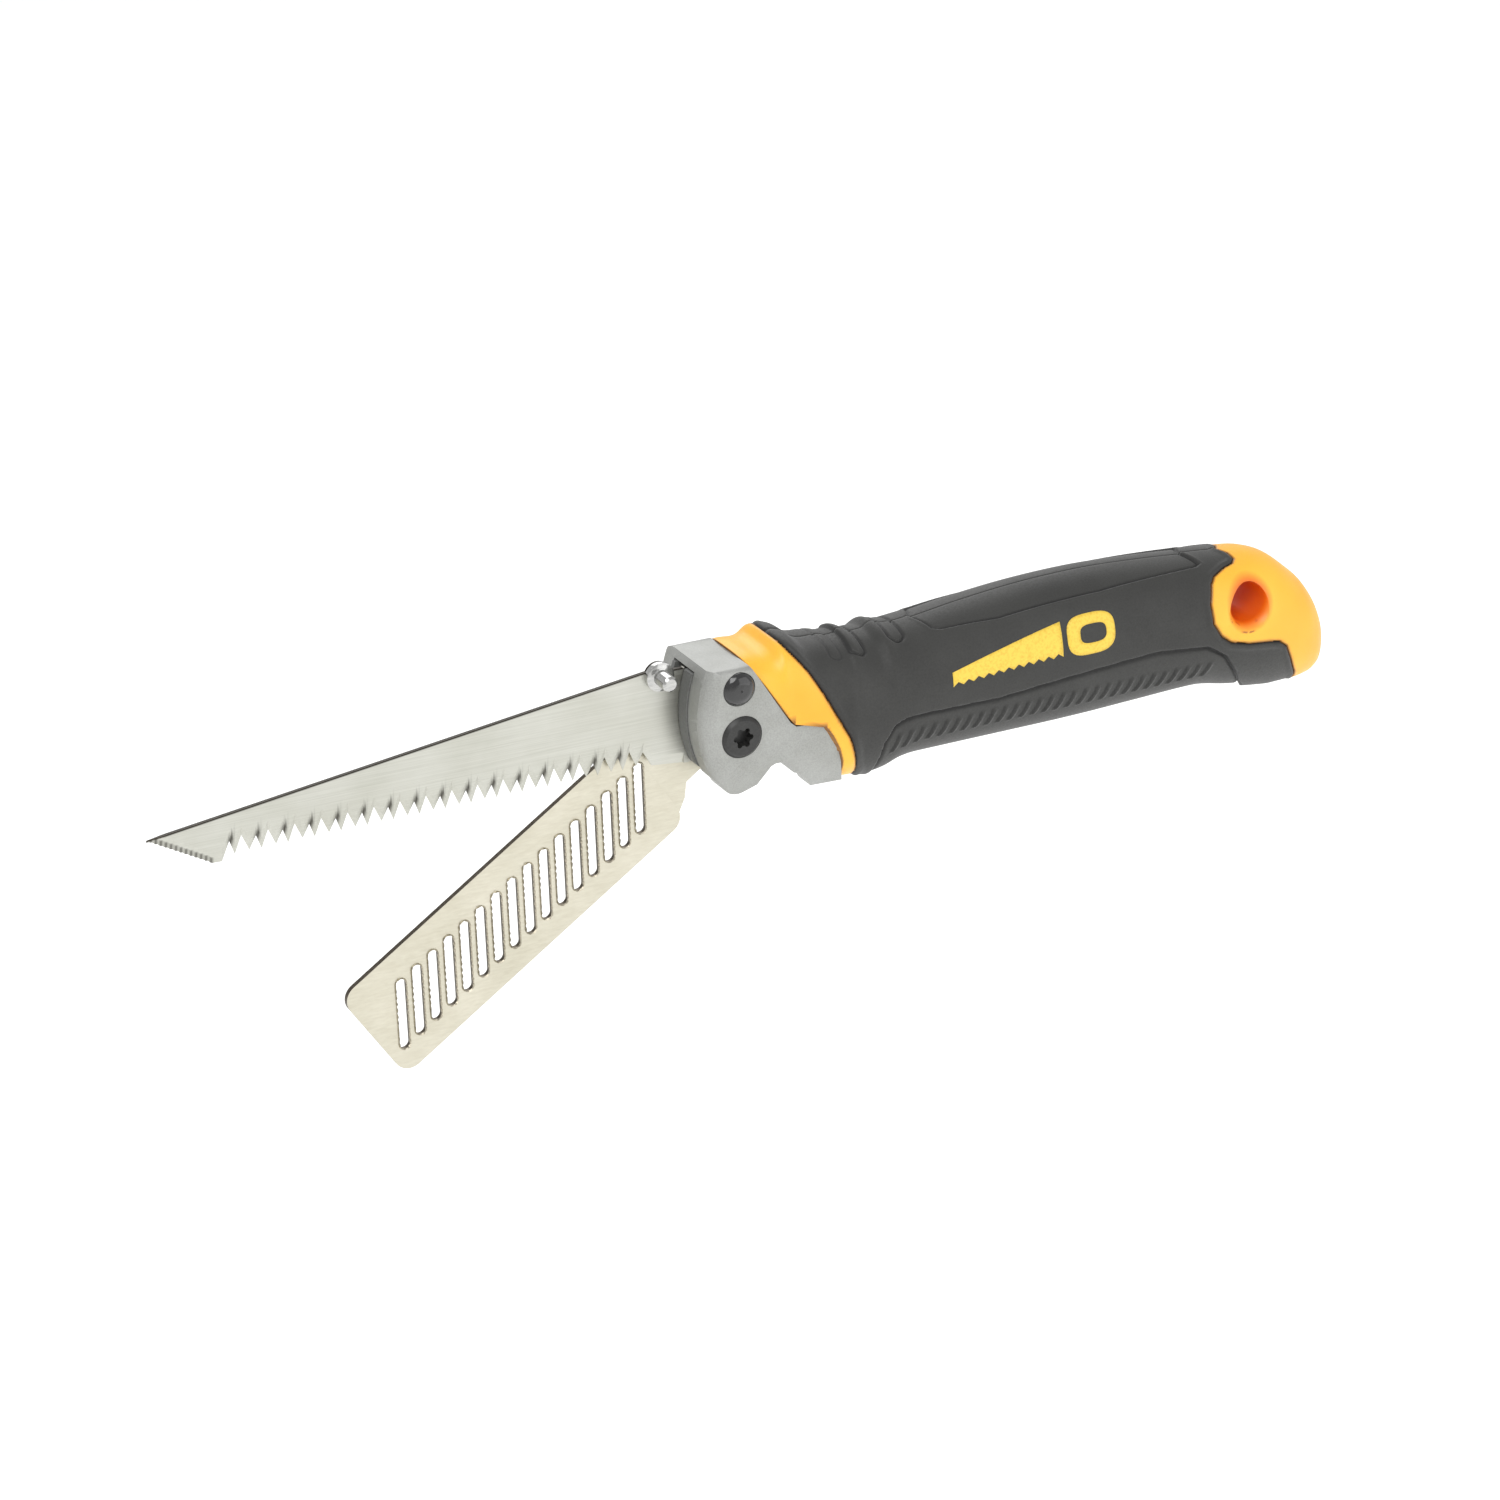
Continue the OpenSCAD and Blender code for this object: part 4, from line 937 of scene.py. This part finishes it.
# burrs: a four-cornered lip carried round each slot's outline, its two free corners moved in
# and up by a ragged sum of sines, and the other two sunk in the sheet
def makeBurrs():
    n, half = raspSet["points"], raspSet["width"] / 2
    straight = (raspSet["length"] - raspSet["width"]) / 2
    way = np.linspace(0, 1, n, endpoint=False) * (4 * straight + 2 * math.pi * half)
    side = 2 * straight
    bend = math.pi * half
    first, second, third = way < side, way < side + bend, way < 2 * side + bend
    turn = np.where(first, -math.pi / 2, np.where(second, (way - side) / half - math.pi / 2,
                    np.where(third, math.pi / 2, (way - 2 * side - bend) / half + math.pi / 2)))
    centre = np.where(first, way - straight, np.where(second, straight,
                      np.where(third, straight - (way - side - bend), -straight)))
    lean = math.radians(raspSet["lean"])
    whole = math.radians(180 + raspSet["angle"])
    rings = []
    for i in range(raspSet["slots"]):
        seed = 1.7 * i
        slow, quick = (way * wave for wave in raspSet["waves"])
        ragged = 0.5 + 0.25 * np.sin(slow + seed) + 0.25 * np.sin(quick + 2.3 * seed)
        lip = []
        for inset, lift in ((-0.12, 0.0), (0.0, -raspSet["burrUp"] * (0.3 + ragged)),
                            (raspSet["burrIn"] * (0.25 + ragged), -0.12), (0.02, 0.25)):
            r = half - inset
            u, v = centre + r * np.cos(turn), r * np.sin(turn)
            a = u * math.cos(lean) - v * math.sin(lean)
            b = u * math.sin(lean) + v * math.cos(lean)
            a = a + raspSet["reach"] - raspSet["endGap"] - i * raspSet["pitch"]
            b = b + raspSet["low"]
            lip.append(np.stack([a * math.cos(whole) - b * math.sin(whole),
                                 raspSet["face"] + lift + 0 * a,
                                 a * math.sin(whole) + b * math.cos(whole)], -1))
        rings.append(np.stack(lip, 1))
    points = np.stack(rings)
    faces = []
    for i in range(raspSet["slots"]):
        base = i * n * 4
        k, c = np.arange(n)[:, None], np.arange(4)[None, :]
        after, beside = (k + 1) % n, (c + 1) % 4
        faces += (base + np.stack([k * 4 + c, k * 4 + beside, after * 4 + beside,
                                   after * 4 + c], -1)).reshape(-1, 4).tolist()
    piece = makePiece("raspBurrs", points.reshape(-1, 3), faces, burrSteel, "rasp",
                      smooth=False)
    faceOutwards(piece)
    return piece


finishWalls("rasp_carrier", "raspCarrier", "rasp")
finishWalls("rasp_sheet", "raspSheet", "rasp")
burrs = makeBurrs()
print("scene: rasp built,", len(burrs.data.polygons), "burr faces")


# worn edges on the model's own metal and moulded pieces, where faces meet at more than
# edgeAngle degrees: width in millimetres and segments
edgeAngle = 32
edgeSet = {"head_casting": (0.35, 2), "liner_near": (0.25, 2), "liner_far": (0.2, 2),
           "pivot_screw": (0.12, 2), "pivot_nut": (0.15, 2), "lock_button": (0.1, 2),
           "thumb_stud": (0.12, 2)}
for nodeName, (width, segments) in edgeSet.items():
    joined = nodes[nodeName].modifiers.new("joinedFaces", "WELD")
    joined.merge_threshold = 2e-6
    worn = nodes[nodeName].modifiers.new("wornEdge", "BEVEL")
    worn.width, worn.segments, worn.limit_method = width * mm, segments, "ANGLE"
    worn.angle_limit, worn.harden_normals = math.radians(edgeAngle), False
    worn.use_clamp_overlap = True
print("scene: edges worn on", len(edgeSet), "CAD nodes")
